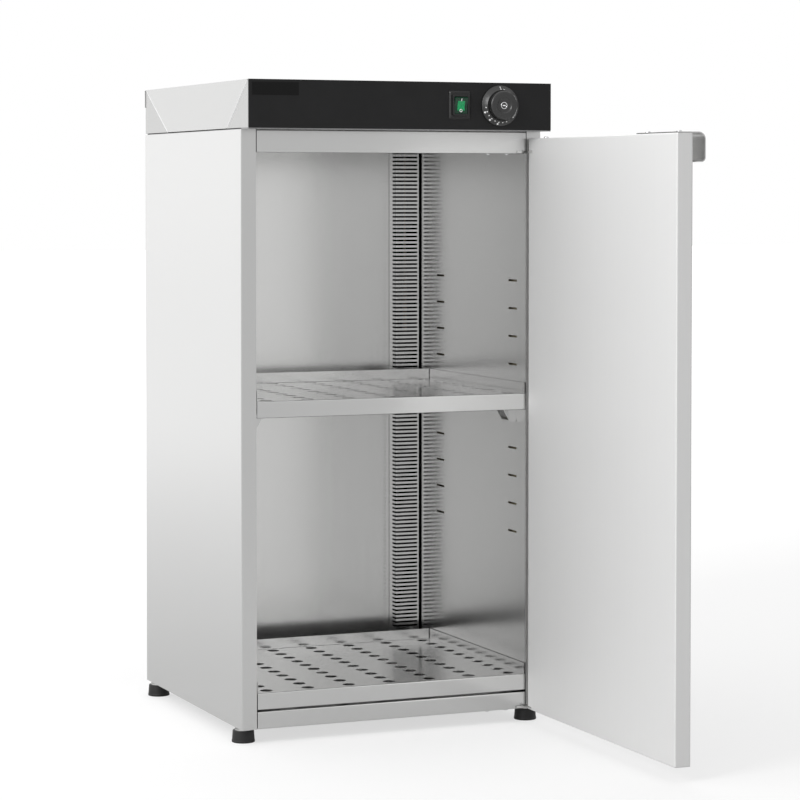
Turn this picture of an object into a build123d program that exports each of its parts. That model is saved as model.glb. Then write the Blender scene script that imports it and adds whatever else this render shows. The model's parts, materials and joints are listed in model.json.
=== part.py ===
from build123d import *
import os
from math import sin, radians

# Plate warmer cabinet in millimetres. The origin is on the floor, midway between the four feet,
# +Z is up and the front faces -Y. The door is drawn closed and then swung open about its pivot.

# Cabinet
WIDTH = 450
DEPTH = 430
BODY_HEIGHT = 820
FOOT_HEIGHT = 20
WALL = 22
BACK_WALL = 22
SHEET = 1.0
BASE_SHEET = 1.5
BEND_RADIUS = 1.6
REAR_FLANGE = 12
LINER_FLANGE = 14
FLANGE_GAP = 1.2
HEADER_HEIGHT = 31
HEADER_RETURN = 20
HEADER_DROP = 0.2
CEILING_DROP = 19.8
BASE_CHANNEL = 24
BASE_RETURN = 14
BASE_WING = 15
TOUCH_GAP = 0.2
CLEARANCE = 0.3
FIT = 0.02
SKIN = 1
THROUGH = 40
INSULATION_GAP = 5
BACK_SCREW_INSET = 70

# Cap with the controls
CAP_HEIGHT = 67
CAP_OVERHANG = 33
CAP_LIP = 2
CAP_LIP_SETBACK = 0.5
CAP_HEM = 5
CAP_HEM_RADIUS = 0.9
CAP_REVEAL = 4
PANEL_THICKNESS = 2
SKIRT_TOP_FRONT = 6
SKIRT_TOP_REAR = 6
SKIRT_BOTTOM_FRONT = 91
SKIRT_BOTTOM_REAR = 112
SKIRT_GAP = 1.9
SKIRT_ROUNDING = 0.5
BACK_SKIRT = 26
VENT_COUNT = 9
VENT_PITCH = 18
VENT_WIDTH = 4
VENT_HEIGHT = 22
VENT_SILL = 9
CAP_SCREW_SIDE = 82
CAP_SCREW_INSET = 8

# Shelves
SHELF_LEVEL = 448.5
TRAY_LEVEL = 48.5
TRAY_GAP = 1.3
TRAY_BACK_GAP = 66
TRAY_FLANGE = 23
TRAY_RETURN = 9
TRAY_UPSTAND = 15
HOLE_RADIUS = 8.8
HOLE_COLUMNS = 7
HOLE_ROWS = 10
HOLE_SIDE = 19
HOLE_FRONT = 18
HOLE_BACK = 18
SLOT_PITCH = 40
SLOTS_BELOW = 5
SLOTS_ABOVE = 4
SLOT_LENGTH = 28
SLOT_HEIGHT = 3
SLOT_FRONT = 45.5
SLOT_REAR = 104.5
CLIP_WIDTH = 26
CLIP_REACH = 23
CLIP_FACE = 20
CLIP_HEIGHT = 42
CLIP_TOE = 10
CLIP_SHEET = 1.5
CLIP_HOOK = 8
RAIL_WIDTH = 14
RAIL_SETBACK = 20

# Air duct
DUCT_WIDTH = 41.5
DUCT_DEPTH = 27
DUCT_GAP = 2
DUCT_FLANGE = 13
DUCT_RETURN = 11
DUCT_SLOT_HEIGHT = 2.8
DUCT_SLOT_PITCH = 6.08
DUCT_SLOT_WRAP = 14
DUCT_SLOT_MARGIN = 3.5
DUCT_SLOTS_START = 64.4
DUCT_SLOTS_TOP = 5

# Door
DOOR_MARGIN = 6
DOOR_DROP = 9.8
DOOR_THICKNESS = 22
DOOR_RISE = 0.2
DOOR_GAP = 3
DOOR_SEAM = 6
DOOR_OPEN = 90
PIVOT_INSET = 10
PIVOT_EDGE = 6

# Hinges
HINGE_PLATE = 3
HINGE_ARM = 10
HINGE_BAR_DEPTH = 10
HINGE_PROUD = 2
HINGE_SLIT = 0.3
ARM_GAP = 0.8
ARM_SWEEP = 9
HINGE_BAR_LENGTH = 30
HINGE_PAD_LENGTH = 59
HINGE_PAD_DEPTH = 13
HINGE_PAD_BACK = 16
HINGE_PAD_LAP = 11
HINGE_SCREW_LAP = 1
HINGE_SCREW_PITCH = 29
HINGE_SCREW_INSET = 10
PIN_RADIUS = 3
PIN_LENGTH = 15
PIN_CLEARANCE = 0.05
BLOCK_LENGTH = 41
BLOCK_DEPTH = 14.7
BLOCK_HEIGHT = 20
BLOCK_SCREW = 29
SCREW_RADIUS = 2
SCREW_HEAD_RADIUS = 3.6
SCREW_HEAD_HEIGHT = 2.2
SCREW_LENGTH = 10

# Door handle
HANDLE_LENGTH = 115
HANDLE_REACH = 19
HANDLE_DROP = 38.6
HANDLE_LIP = 14
HANDLE_SHEET = 1.5
HANDLE_SETBACK = 2
HANDLE_TOP_RADIUS = 10
HANDLE_LIP_RADIUS = 6
HANDLE_SCREW_PITCH = 84

# Magnetic catch
CATCH_HEIGHT = 40
CATCH_WIDTH = 11
MAGNET_DEPTH = 10
STRIKE_THICKNESS = 2
CATCH_LEVEL = 410

# Switch
SWITCH_INSET = 139.9
CONTROL_LEVEL = 35
BEZEL_WIDTH = 32.5
BEZEL_HEIGHT = 39.4
BEZEL_PLATE = 2
BEZEL_BEVEL = 1.6
COLLAR_DEPTH = 4.9
COLLAR_WIDTH = 25
COLLAR_HEIGHT = 29.2
WINDOW_WIDTH = 19.8
WINDOW_HEIGHT = 24
BEZEL_CORNER = 2.5
COLLAR_EDGE = 0.6
ROCKER_AXIS = 1.5
ROCKER_TILT = 10
ROCKER_FACE = 2.5
ROCKER_BACK = 2
ROCKER_PIN = 1.2
ROCKER_PIN_REACH = 1.5
ROCKER_WELL = 7
BLADE_WIDTH = 6
BLADE_LENGTH = 8
BLADE_THICKNESS = 0.8
SWITCH_NECK_WIDTH = 22
SWITCH_NECK_HEIGHT = 30
SWITCH_BODY_DEPTH = 24

# Thermostat
KNOB_INSET = 79
SKIRT_RADIUS = 28.2
SKIRT_SHOULDER = 21.5
SKIRT_DEPTH = 8
SKIRT_EDGE = 1.4
KNOB_RADIUS = 20.3
KNOB_DEPTH = 16.5
KNOB_EDGE = 2.4
KNOB_GAP = 0.5
DIMPLE_RADIUS = 11
DIMPLE_DEPTH = 1.6
SHAFT_RADIUS = 3
SHAFT_ROOT = 6
SHAFT_REACH = 12
BUSH_RADIUS = 5
BUSH_LENGTH = 4
THERMOSTAT_SIZE = 36
THERMOSTAT_DEPTH = 26
CAPILLARY_RADIUS = 1
PROBE_RADIUS = 3
PROBE_LENGTH = 80
PROBE_LEVEL = 520
CAPILLARY_RISE = 14
CAPILLARY_BEND = 8
LEAD = 20

# Heating and wiring
ELEMENT_RADIUS = 3.25
ELEMENT_LEVEL = 22
ELEMENT_LEGS = 4
ELEMENT_SIDE = 83
ELEMENT_BEND = 30
ELEMENT_FRONT = 55
ELEMENT_REAR = 110
ELEMENT_TAIL = 12
SUPPORT_THICKNESS = 1.5
SUPPORT_FOOT = 10
SUPPORT_INSET = 50
WIRE_RADIUS = 2.5
WIRE_BEND = 5
WIRE_LANE = 10
WIRE_SPACING = 18
TERMINAL_LENGTH = 60
TERMINAL_WIDTH = 22
TERMINAL_HEIGHT = 16
WELL_PITCH = 10
WELL_RADIUS = 3
GLAND_INSET = 75
GLAND_LEVEL = 40
GLAND_RADIUS = 8
GLAND_BORE = 4
GLAND_NUT = 12
GLAND_HEX = 7
GLAND_DOME = 9.5
GLAND_ROOT = 6
GLAND_LENGTH = 18

# Feet
FOOT_INSET_X = 11
FOOT_INSET_Y = 25
FOOT_RADIUS = 16
FOOT_TOP_RADIUS = 14.6
FOOT_BAND = 3
CUP_HEIGHT = 16.5
WASHER_RADIUS = 12
WASHER_HEIGHT = 1.8
STUD_RADIUS = 4
STUD_CLEARANCE = 0.05
STUD_HOLE_GAP = 0.5
STUD_ROOT = 6.5
STUD_TOP = 45
STUD_CHAMFER = 1
NUT_FLATS = 13
NUT_HEIGHT = 6.5

# Derived planes
X_SIDE = WIDTH / 2
X_LINER = X_SIDE - WALL
X_INNER = X_SIDE - SHEET
Y_FRONT = -DEPTH / 2
Y_BACK = DEPTH / 2
Y_LINER = Y_BACK - BACK_WALL
Y_CAP = Y_FRONT - CAP_OVERHANG
Y_PANEL = Y_CAP + PANEL_THICKNESS
Z_BASE = FOOT_HEIGHT
Z_FLOOR = Z_BASE + BASE_SHEET
Z_BODY = Z_BASE + BODY_HEIGHT
Z_CAP = Z_BODY + CAP_HEIGHT
Z_HEADER_TOP = Z_BODY - HEADER_DROP
Z_HEADER = Z_HEADER_TOP - HEADER_HEIGHT
Z_HINGE_SEAT = Z_HEADER + SHEET
Z_CEILING = Z_HEADER_TOP - CEILING_DROP
Z_CONTROLS = Z_BODY + CONTROL_LEVEL
X_PIVOT = X_LINER + PIVOT_INSET
Y_DOOR = Y_FRONT - DOOR_GAP
Y_DOOR_OUTER = Y_DOOR - DOOR_THICKNESS
Y_PIVOT = Y_DOOR - PIVOT_INSET
X_DOOR_HINGE = X_PIVOT + PIVOT_EDGE
X_DOOR_FREE = DOOR_MARGIN - X_SIDE
Z_DOOR = Z_BASE + DOOR_RISE
Z_DOOR_TOP = Z_BODY - DOOR_DROP
Z_SHELF = Z_BASE + SHELF_LEVEL
Z_TRAY = Z_BASE + TRAY_LEVEL
X_TRAY = X_LINER - TRAY_GAP
TRAY_DEPTH = Y_LINER - TRAY_BACK_GAP - Y_FRONT
Z_ELEMENT = Z_BASE + ELEMENT_LEVEL
X_FOOT = X_SIDE - FOOT_INSET_X
X_SWITCH = X_SIDE - SWITCH_INSET
X_KNOB = X_SIDE - KNOB_INSET
X_CAP_SCREW = X_SIDE - CAP_SCREW_SIDE
X_GLAND = GLAND_INSET - X_SIDE
Y_FOOT = Y_BACK - FOOT_INSET_Y
PIVOT = Axis((X_PIVOT, Y_PIVOT, 0), (0, 0, 1))
SIDES = {"left": -1, "right": 1}


def block(x, y, z):
    """Box between two limits on each axis."""
    centre = [(low + high) / 2 for low, high in (x, y, z)]
    return Pos(*centre) * Box(x[1] - x[0], y[1] - y[0], z[1] - z[0])


def rod(radius, start, direction, length):
    """Solid cylinder from a point along a direction."""
    return Plane(origin=start, z_dir=direction) * extrude(Circle(radius), amount=length)


def folded(points, plane, length, thickness=SHEET, radius=BEND_RADIUS):
    """Bent sheet: its outer face follows the points and its metal lies on their left."""
    path = FilletPolyline(*points, radius=radius)
    section = make_face(offset(path, amount=thickness, side=Side.LEFT, closed=True))
    return plane * extrude(section, amount=length)


def tube(points, radius, bends):
    """Round bar along straight runs joined by tangent arcs."""
    path = FilletPolyline(*points, radius=bends)
    return sweep(Plane(origin=path @ 0, z_dir=path % 0) * Circle(radius), path=path)


def mirrored(shape, side):
    """The left-hand piece as drawn, or its mirror image for the right-hand side."""
    return shape if side < 0 else shape.mirror(Plane.YZ)


def pan_screw(x, y, z, down=True):
    """Screw with a domed head whose seat is at z."""
    way = -1 if down else 1
    head = rod(SCREW_HEAD_RADIUS, (x, y, z), (0, 0, -way), SCREW_HEAD_HEIGHT)
    rim = head.edges().filter_by(GeomType.CIRCLE).sort_by(Axis.Z)[-1 if down else 0]
    return fillet(rim, SCREW_HEAD_HEIGHT * 0.6) + rod(SCREW_RADIUS, (x, y, z), (0, 0, way), SCREW_LENGTH)


def screw_hole(x, y, z):
    """Cutter for a screw that stands upright at a point."""
    return Pos(x, y, z) * Cylinder(SCREW_RADIUS + FIT, THROUGH)


# Hinges


def hinge_plan():
    """Outline of a hinge plate: pad, bar across the front flange and arm to the pivot."""
    x_end = X_PIVOT + HINGE_ARM / 2
    x_bar = x_end - HINGE_BAR_LENGTH
    x_pad = x_bar + HINGE_PAD_LAP
    y_bar = Y_FRONT - HINGE_PROUD
    bar = Rectangle(HINGE_BAR_LENGTH, HINGE_BAR_DEPTH, align=(Align.MIN, Align.MIN))
    pad = Rectangle(HINGE_PAD_LENGTH, HINGE_PAD_DEPTH, align=(Align.MAX, Align.MAX))
    arm = Rectangle(HINGE_ARM, y_bar - Y_PIVOT + HINGE_BAR_DEPTH / 2, align=(Align.MAX, Align.MIN))
    plan = Pos(x_bar, y_bar) * bar + Pos(x_pad, Y_FRONT + HINGE_PAD_BACK) * pad
    plan += Pos(x_end, Y_PIVOT) * arm + Pos(X_PIVOT, Y_PIVOT) * Circle(HINGE_ARM / 2)
    return plan


def hinge_screw_xs():
    """Places of the two screws along a hinge plate's pad."""
    last = X_PIVOT + HINGE_ARM / 2 - HINGE_BAR_LENGTH - HINGE_PAD_LAP - HINGE_SCREW_LAP
    return [last - HINGE_SCREW_PITCH, last]


def hinge_levels():
    """Underside of the upper and the lower hinge plate."""
    return {"upper": Z_HINGE_SEAT, "lower": Z_FLOOR}


def hinge_plate(level):
    plate = Pos(0, 0, level) * extrude(hinge_plan(), amount=HINGE_PLATE)
    plate -= Pos(X_PIVOT, Y_PIVOT, level) * Cylinder(PIN_RADIUS + FIT / 2, THROUGH)
    holes = [screw_hole(x, Y_FRONT + HINGE_SCREW_INSET, level) for x in hinge_screw_xs()]
    return plate - holes


def hinge_slit(level):
    """Cutter that lets a hinge plate's bar through the front flanges."""
    x_end = X_PIVOT + HINGE_ARM / 2 + HINGE_SLIT
    x_start = X_PIVOT + HINGE_ARM / 2 - HINGE_BAR_LENGTH - HINGE_SLIT
    y_back = Y_FRONT - HINGE_PROUD + HINGE_BAR_DEPTH + HINGE_SLIT
    return block((x_start, x_end), (Y_CAP, y_back), (level - HINGE_SLIT, level + HINGE_PLATE + HINGE_SLIT))


def hinge_slits():
    return [hinge_slit(level) for level in hinge_levels().values()]


def hinge_pins():
    """Pins pressed into the arms of both hinge plates."""
    return Compound([rod(PIN_RADIUS, (X_PIVOT, Y_PIVOT, level), (0, 0, 1), PIN_LENGTH)
                     for level in hinge_levels().values()])


def hinge_screws():
    """Screws from below through the header and the floor into the hinge plates."""
    seats = {"upper": Z_HEADER, "lower": Z_BASE}
    y = Y_FRONT + HINGE_SCREW_INSET
    return Compound([pan_screw(x, y, seats[name], down=False)
                     for name in hinge_levels() for x in hinge_screw_xs()])


# Cabinet body


def side_panel(side):
    """Outer side with a front flange and a narrow rear flange."""
    plan = [(-X_SIDE + REAR_FLANGE, Y_BACK), (-X_SIDE, Y_BACK), (-X_SIDE, Y_FRONT), (-X_LINER, Y_FRONT)]
    panel = mirrored(folded(plan, Plane.XY.offset(Z_BASE), BODY_HEIGHT), side)
    if side > 0:
        panel -= hinge_slits()
    return panel - [back_screw_hole(place) for place in back_screw_places() if place[0] * side > 0]


def slot_places():
    """Middles of the front and rear columns of slots along the depth."""
    return {"front": Y_FRONT + SLOT_FRONT, "rear": Y_LINER - SLOT_REAR}


def slot_levels():
    return [Z_SHELF + SLOT_PITCH * step for step in range(-SLOTS_BELOW, SLOTS_ABOVE + 1)]


def liner_side(side):
    """Inner side wall with two columns of slots for the shelf clips."""
    y_face = Y_FRONT + SHEET
    plan = [(-X_LINER - LINER_FLANGE, y_face), (-X_LINER, y_face), (-X_LINER, Y_LINER + SHEET)]
    wall = folded(plan, Plane.XY.offset(Z_FLOOR), Z_BODY - Z_FLOOR)
    slots = [Pos(-X_LINER, y, z) * Box(4 * SHEET, SLOT_LENGTH, SLOT_HEIGHT)
             for y in slot_places().values() for z in slot_levels()]
    wall = mirrored(wall - slots, side)
    return wall - hinge_slits() if side > 0 else wall


def liner_back():
    """Inner back wall with the holes for the heating element's tails."""
    x = X_LINER - TOUCH_GAP
    wall = block((-x, x), (Y_LINER, Y_LINER + SHEET), (Z_FLOOR, Z_BODY))
    tails = [rod(ELEMENT_RADIUS + FIT, (x_tail, Y_LINER - SKIN, Z_ELEMENT), (0, 1, 0), SHEET + 2 * SKIN)
             for x_tail in element_tail_xs()]
    return wall - tails


def header_channel():
    """Front rail over the opening, folded back at its top and its bottom."""
    x = X_LINER - FLANGE_GAP
    profile = [(Y_FRONT + BASE_RETURN, Z_HEADER_TOP), (Y_FRONT, Z_HEADER_TOP),
               (Y_FRONT, Z_HEADER), (Y_FRONT + HEADER_RETURN, Z_HEADER)]
    rail = folded(profile, Plane.YZ.offset(-x), 2 * x)
    lower = [screw_hole(place, Y_FRONT + HINGE_SCREW_INSET, Z_HEADER) for place in hinge_screw_xs()]
    upper = [Pos(place, y, Z_HEADER_TOP) * Cylinder(SCREW_RADIUS + FIT, HEADER_HEIGHT / 2)
             for place, y in cap_screw_places()]
    return rail - lower - upper - hinge_slit(Z_HINGE_SEAT)


def ceiling_liner():
    """Roof of the heated space behind the header and between the side walls."""
    x = X_LINER - TOUCH_GAP
    y_front = Y_FRONT + SHEET + TOUCH_GAP
    roof = block((-x, x), (y_front, Y_LINER - TOUCH_GAP), (Z_CEILING, Z_CEILING + SHEET))
    return roof - capillary_hole(Z_CEILING)


def base_pan():
    """Floor of the cabinet with its front channel, side wings and holes for the feet."""
    x = X_LINER - FLANGE_GAP
    x_wing = X_INNER - TOUCH_GAP
    y_back = Y_BACK - 2 * SHEET - TOUCH_GAP
    z_channel = Z_BASE + BASE_CHANNEL
    profile = [(Y_FRONT + BASE_RETURN, z_channel), (Y_FRONT, z_channel), (Y_FRONT, Z_BASE),
               (y_back, Z_BASE), (y_back, Z_FLOOR + BASE_WING)]
    radius = BEND_RADIUS + BASE_SHEET - SHEET
    pan = folded(profile, Plane.YZ.offset(-x), 2 * x, BASE_SHEET, radius)
    y_wing = Y_FRONT + 2 * SHEET + TOUCH_GAP
    for side in SIDES.values():
        floor = block(sorted((side * (x - SKIN), side * x_wing)), (y_wing, y_back), (Z_BASE, Z_FLOOR))
        wing = block(sorted((side * (x_wing - BASE_SHEET), side * x_wing)),
                     (y_wing, y_back), (Z_BASE, Z_FLOOR + BASE_WING))
        pan += floor + wing
    stud_hole = Pos(0, 0, Z_BASE) * Cylinder(STUD_RADIUS + STUD_HOLE_GAP, THROUGH)
    pan -= [Pos(x_foot, y_foot, 0) * stud_hole for x_foot, y_foot in foot_places()]
    pan -= [screw_hole(place, Y_FRONT + HINGE_SCREW_INSET, Z_BASE) for place in hinge_screw_xs()]
    return pan - hinge_slit(Z_FLOOR)


def back_screw_places():
    rise = BODY_HEIGHT / 2 - BACK_SCREW_INSET
    middle = Z_BASE + BODY_HEIGHT / 2
    return [(side * (X_SIDE - REAR_FLANGE / 2), Y_BACK, middle + step * rise)
            for side in SIDES.values() for step in (-1, 0, 1)]


def back_screw_hole(place):
    x, y, z = place
    return rod(SCREW_RADIUS + FIT, (x, y + SKIN, z), (0, -1, 0), THROUGH)


def back_panel():
    """Outer back behind the side panels' rear flanges."""
    x = X_INNER - BEND_RADIUS
    panel = block((-x, x), (Y_BACK - 2 * SHEET, Y_BACK - SHEET), (Z_FLOOR, Z_BODY))
    panel -= rod(GLAND_RADIUS + FIT, (X_GLAND, Y_LINER, Z_BASE + GLAND_LEVEL), (0, 1, 0), THROUGH)
    return panel - [back_screw_hole(place) for place in back_screw_places()]


def wall_insulation():
    """Mineral wool slabs in both side walls and the back wall, above the feet's studs."""
    z = (STUD_TOP + INSULATION_GAP, Z_BODY - INSULATION_GAP)
    x = (X_LINER + SHEET + CLIP_SHEET + INSULATION_GAP, X_INNER - CLEARANCE)
    right = block(x, (Y_FRONT + MAGNET_DEPTH + 2 * INSULATION_GAP, Y_LINER), z)
    back_x = (element_tail_xs()[0] + 2 * INSULATION_GAP, X_LINER - DUCT_WIDTH)
    back_y = (Y_LINER + SHEET + CLEARANCE, Y_BACK - 2 * SHEET - CLEARANCE)
    back = block(back_x, back_y, (z[0] + ELEMENT_LEVEL, z[1]))
    return Compound([right, right.mirror(Plane.YZ), back])


def catch_place():
    """Left end and middle height of the magnetic catch."""
    return -X_LINER - SHEET - SKIN - CATCH_WIDTH, Z_BASE + CATCH_LEVEL


def catch_magnet():
    """Magnet behind the left front flange."""
    x, z = catch_place()
    y = Y_FRONT + 2 * SHEET
    z_reach = CATCH_HEIGHT / 2
    return block((x, x + CATCH_WIDTH), (y, y + MAGNET_DEPTH), (z - z_reach, z + z_reach))


# Cap


def cap_frame():
    """Floor of the cap with its front hem, side plates and vented back plate."""
    y_back = Y_BACK - SHEET
    x_plate = X_INNER
    floor = block((-x_plate, x_plate), (Y_CAP + CAP_LIP_SETBACK, y_back), (Z_BODY, Z_BODY + SHEET))
    hem = block((-X_SIDE, X_SIDE), (Y_CAP + CAP_LIP_SETBACK, Y_CAP + CAP_LIP_SETBACK + CAP_HEM),
                (Z_BODY, Z_BODY + CAP_LIP))
    frame = floor + fillet(hem.faces().sort_by(Axis.Y)[0].edges().filter_by(Axis.X), CAP_HEM_RADIUS)
    for side in SIDES.values():
        frame += block(sorted((side * (x_plate - SHEET), side * x_plate)),
                       (Y_PANEL, y_back), (Z_BODY, Z_CAP - SHEET))
    frame += block((-x_plate, x_plate), (y_back - SHEET, y_back), (Z_BODY, Z_CAP - SHEET))
    for side in SIDES.values():
        frame -= block(sorted((side * (X_SIDE - CAP_REVEAL), side * X_SIDE)), (Y_FRONT, Y_BACK),
                       (Z_BODY, Z_BODY + SKIRT_GAP))
    z_vent = (Z_BODY + VENT_SILL, Z_BODY + VENT_SILL + VENT_HEIGHT)
    vents = [block((x - VENT_WIDTH / 2, x + VENT_WIDTH / 2), (y_back - 2 * SHEET, Y_BACK), z_vent)
             for x in vent_xs()]
    return frame - vents - capillary_hole(Z_BODY) - wire_holes() - [
        screw_hole(x, y, Z_BODY) for x, y in cap_screw_places()]


def vent_xs():
    middle = (VENT_COUNT - 1) / 2
    return [(step - middle) * VENT_PITCH for step in range(VENT_COUNT)]


def cap_cover():
    """Lid with trapezoid side skirts and a short back skirt."""
    top = block((-X_SIDE, X_SIDE), (Y_PANEL, Y_BACK), (Z_CAP - SHEET, Z_CAP))
    z_low = Z_BODY + SKIRT_GAP
    outline = Polyline((Y_CAP + SKIRT_TOP_FRONT, Z_CAP), (Y_CAP + SKIRT_BOTTOM_FRONT, z_low),
                       (Y_BACK - SKIRT_BOTTOM_REAR, z_low), (Y_BACK - SKIRT_TOP_REAR, Z_CAP), close=True)
    skirt = Plane.YZ.offset(X_INNER) * extrude(make_face(outline), amount=SHEET)
    outer = skirt.faces().sort_by(Axis.X)[-1].edges().sort_by(Axis.Z)[:-1]
    skirt = fillet(outer, SKIRT_ROUNDING)
    back = block((-X_SIDE, X_SIDE), (Y_BACK - SHEET, Y_BACK), (Z_CAP - BACK_SKIRT, Z_CAP))
    lid = top + skirt + skirt.mirror(Plane.YZ) + back
    long_edges = lid.edges().filter_by(Axis.Y).group_by(Axis.Z)[-1]
    return fillet(long_edges, BEND_RADIUS / 2)


def control_panel():
    """Black front plate with the cut-outs for the switch and the thermostat."""
    plate = block((-X_SIDE, X_SIDE), (Y_CAP, Y_PANEL), (Z_BODY + CAP_LIP, Z_CAP))
    plate -= Pos(X_SWITCH, Y_CAP, Z_CONTROLS) * Box(SWITCH_NECK_WIDTH, THROUGH, SWITCH_NECK_HEIGHT)
    return plate - Pos(X_KNOB, Y_CAP, Z_CONTROLS) * Rot(90, 0, 0) * Cylinder(BUSH_RADIUS + FIT, THROUGH)


def cap_screw_places():
    """Screws through the cap's floor into the header's upper return."""
    return [(side * X_CAP_SCREW, Y_FRONT + CAP_SCREW_INSET) for side in SIDES.values()]


def panel_screws():
    """Screws of the outer back and of the cap's floor."""
    backs = []
    for x, y, z in back_screw_places():
        head = rod(SCREW_HEAD_RADIUS, (x, y, z), (0, 1, 0), SCREW_HEAD_HEIGHT)
        backs.append(head + rod(SCREW_RADIUS, (x, y, z), (0, -1, 0), SCREW_LENGTH))
    caps = [pan_screw(x, y, Z_BODY + SHEET) for x, y in cap_screw_places()]
    return Compound(backs + caps)


# Shelves


def perforated_tray(z):
    """Shelf with upturned sides and back, a folded front and a grid of round holes."""
    x = X_TRAY
    y_back = Y_FRONT + TRAY_DEPTH
    z_top = z + SHEET + TRAY_UPSTAND
    z_low = z + SHEET - TRAY_FLANGE
    sides = [(-x, z_top), (-x, z), (x, z), (x, z_top)]
    tray = folded(sides, Plane.XZ.offset(-y_back), TRAY_DEPTH - BEND_RADIUS)
    root = 2 * BEND_RADIUS
    front = [(Y_FRONT + root, z + SHEET), (Y_FRONT, z + SHEET),
             (Y_FRONT, z_low), (Y_FRONT + TRAY_RETURN, z_low)]
    rear = [(y_back - root, z), (y_back, z), (y_back, z_top)]
    inner = x - BEND_RADIUS
    tray += folded(front, Plane.YZ.offset(-x), 2 * x)
    tray -= block((-x, x), (y_back - root, y_back + SKIN), (z - SKIN, z_top + SKIN))
    tray += folded(rear, Plane.YZ.offset(-inner), 2 * inner)
    holes = [Pos(column, row, z) * Cylinder(HOLE_RADIUS, TRAY_UPSTAND)
             for column in hole_columns() for row in hole_rows()]
    return tray - holes


def hole_columns():
    x_last = X_TRAY - HOLE_SIDE
    pitch = 2 * x_last / (HOLE_COLUMNS - 1)
    return [step * pitch - x_last for step in range(HOLE_COLUMNS)]


def hole_rows():
    pitch = (TRAY_DEPTH - HOLE_FRONT - HOLE_BACK) / (HOLE_ROWS - 1)
    return [Y_FRONT + HOLE_FRONT + step * pitch for step in range(HOLE_ROWS)]


def shelf_clip(side, y_centre):
    """Gusseted clip whose tab hooks into a liner slot and carries the shelf on its top."""
    half = CLIP_WIDTH / 2
    x_wall = -X_LINER
    top = block((x_wall, x_wall + CLIP_REACH), (-half, half), (-CLIP_SHEET, 0))
    cheek_line = Polyline((x_wall, 0), (x_wall + CLIP_REACH, 0), (x_wall + CLIP_REACH, -CLIP_FACE),
                          (x_wall + CLIP_TOE, -CLIP_HEIGHT), (x_wall, -CLIP_HEIGHT), close=True)
    cheek = extrude(make_face(cheek_line), amount=CLIP_SHEET)
    clip = top + Plane.XZ.offset(half - CLIP_SHEET) * cheek + Plane.XZ.offset(-half) * cheek
    x_hook = x_wall - SHEET - CLEARANCE
    clip += block((x_hook - CLIP_SHEET, x_wall), (-half, half), (-CLIP_SHEET, 0))
    clip += block((x_hook - CLIP_SHEET, x_hook), (-half, half), (-CLIP_HOOK, 0))
    tab = SLOT_HEIGHT / 2 - CLEARANCE
    for y in (-half, half - CLIP_SHEET):
        clip += block((x_hook, x_wall), (y, y + CLIP_SHEET), (-SLOT_PITCH - tab, -SLOT_PITCH + tab))
    return mirrored(Pos(0, y_centre, Z_SHELF) * clip, side)


def tray_rail(side):
    """Channel on the floor along a side wall that carries the bottom tray."""
    x_rail = -X_LINER + RAIL_WIDTH
    profile = [(-X_LINER, Z_FLOOR), (x_rail, Z_FLOOR), (x_rail, Z_TRAY), (-X_LINER, Z_TRAY)]
    y_back = Y_FRONT + TRAY_DEPTH
    length = y_back - (Y_FRONT + RAIL_SETBACK)
    return mirrored(folded(profile, Plane.XZ.offset(-y_back), length), side)


def duct_cover():
    """Slotted cover of the air duct in the right rear corner."""
    x_right = X_LINER - DUCT_GAP
    x_left = x_right - DUCT_WIDTH + DUCT_GAP
    y_face = Y_LINER - DUCT_DEPTH
    plan = [(x_left + DUCT_FLANGE, Y_LINER), (x_left, Y_LINER), (x_left, y_face),
            (x_right, y_face), (x_right, y_face + DUCT_RETURN)]
    cover = folded(plan, Plane.XY.offset(Z_FLOOR), Z_CEILING - Z_FLOOR)
    slot = block((x_left - SKIN, x_right - DUCT_SLOT_MARGIN), (y_face - SKIN, y_face + DUCT_SLOT_WRAP),
                 (-DUCT_SLOT_HEIGHT / 2, DUCT_SLOT_HEIGHT / 2))
    z_first = Z_BASE + DUCT_SLOTS_START
    count = 1 + int((Z_CEILING - DUCT_SLOTS_TOP - z_first) / DUCT_SLOT_PITCH)
    return cover - [Pos(0, 0, z_first + step * DUCT_SLOT_PITCH) * slot for step in range(count)]


# Door, drawn closed


def opened(shape):
    return shape.rotate(PIVOT, DOOR_OPEN)


def door_slot(level):
    """Cutter that clears a hinge plate's arm through the whole swing."""
    x = (X_PIVOT - HINGE_ARM / 2 - ARM_GAP, X_DOOR_HINGE + SKIN)
    y = (Y_PIVOT - ARM_SWEEP, Y_DOOR + SKIN)
    return block(x, y, (level - HINGE_SLIT, level + HINGE_PLATE + HINGE_SLIT))


def door_slots():
    return [door_slot(level) for level in hinge_levels().values()]


def door_box(margin, y):
    return block((X_DOOR_FREE + margin, X_DOOR_HINGE - margin), y, (Z_DOOR + margin, Z_DOOR_TOP - margin))


def door_inner_pan():
    """Inner face of the door with flanges that make its four edges."""
    y_open = Y_DOOR_OUTER + SHEET
    solid = door_box(0, (y_open, Y_DOOR))
    upright = solid.edges().filter_by(Axis.Y)
    solid = fillet(upright, BEND_RADIUS)
    solid = fillet(solid.faces().sort_by(Axis.Y)[-1].edges(), BEND_RADIUS)
    hollow = door_box(SHEET, (y_open - SKIN, Y_DOOR - SHEET))
    pan = solid - hollow - door_slots()
    tops = [screw_hole(x, y, Z_DOOR_TOP) for x, y in handle_screw_places()]
    x_block, y_block = block_screw_place()
    blocks = [screw_hole(x_block, y_block, z) for z in (Z_DOOR, Z_DOOR_TOP)]
    return pan - tops - blocks


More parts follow.
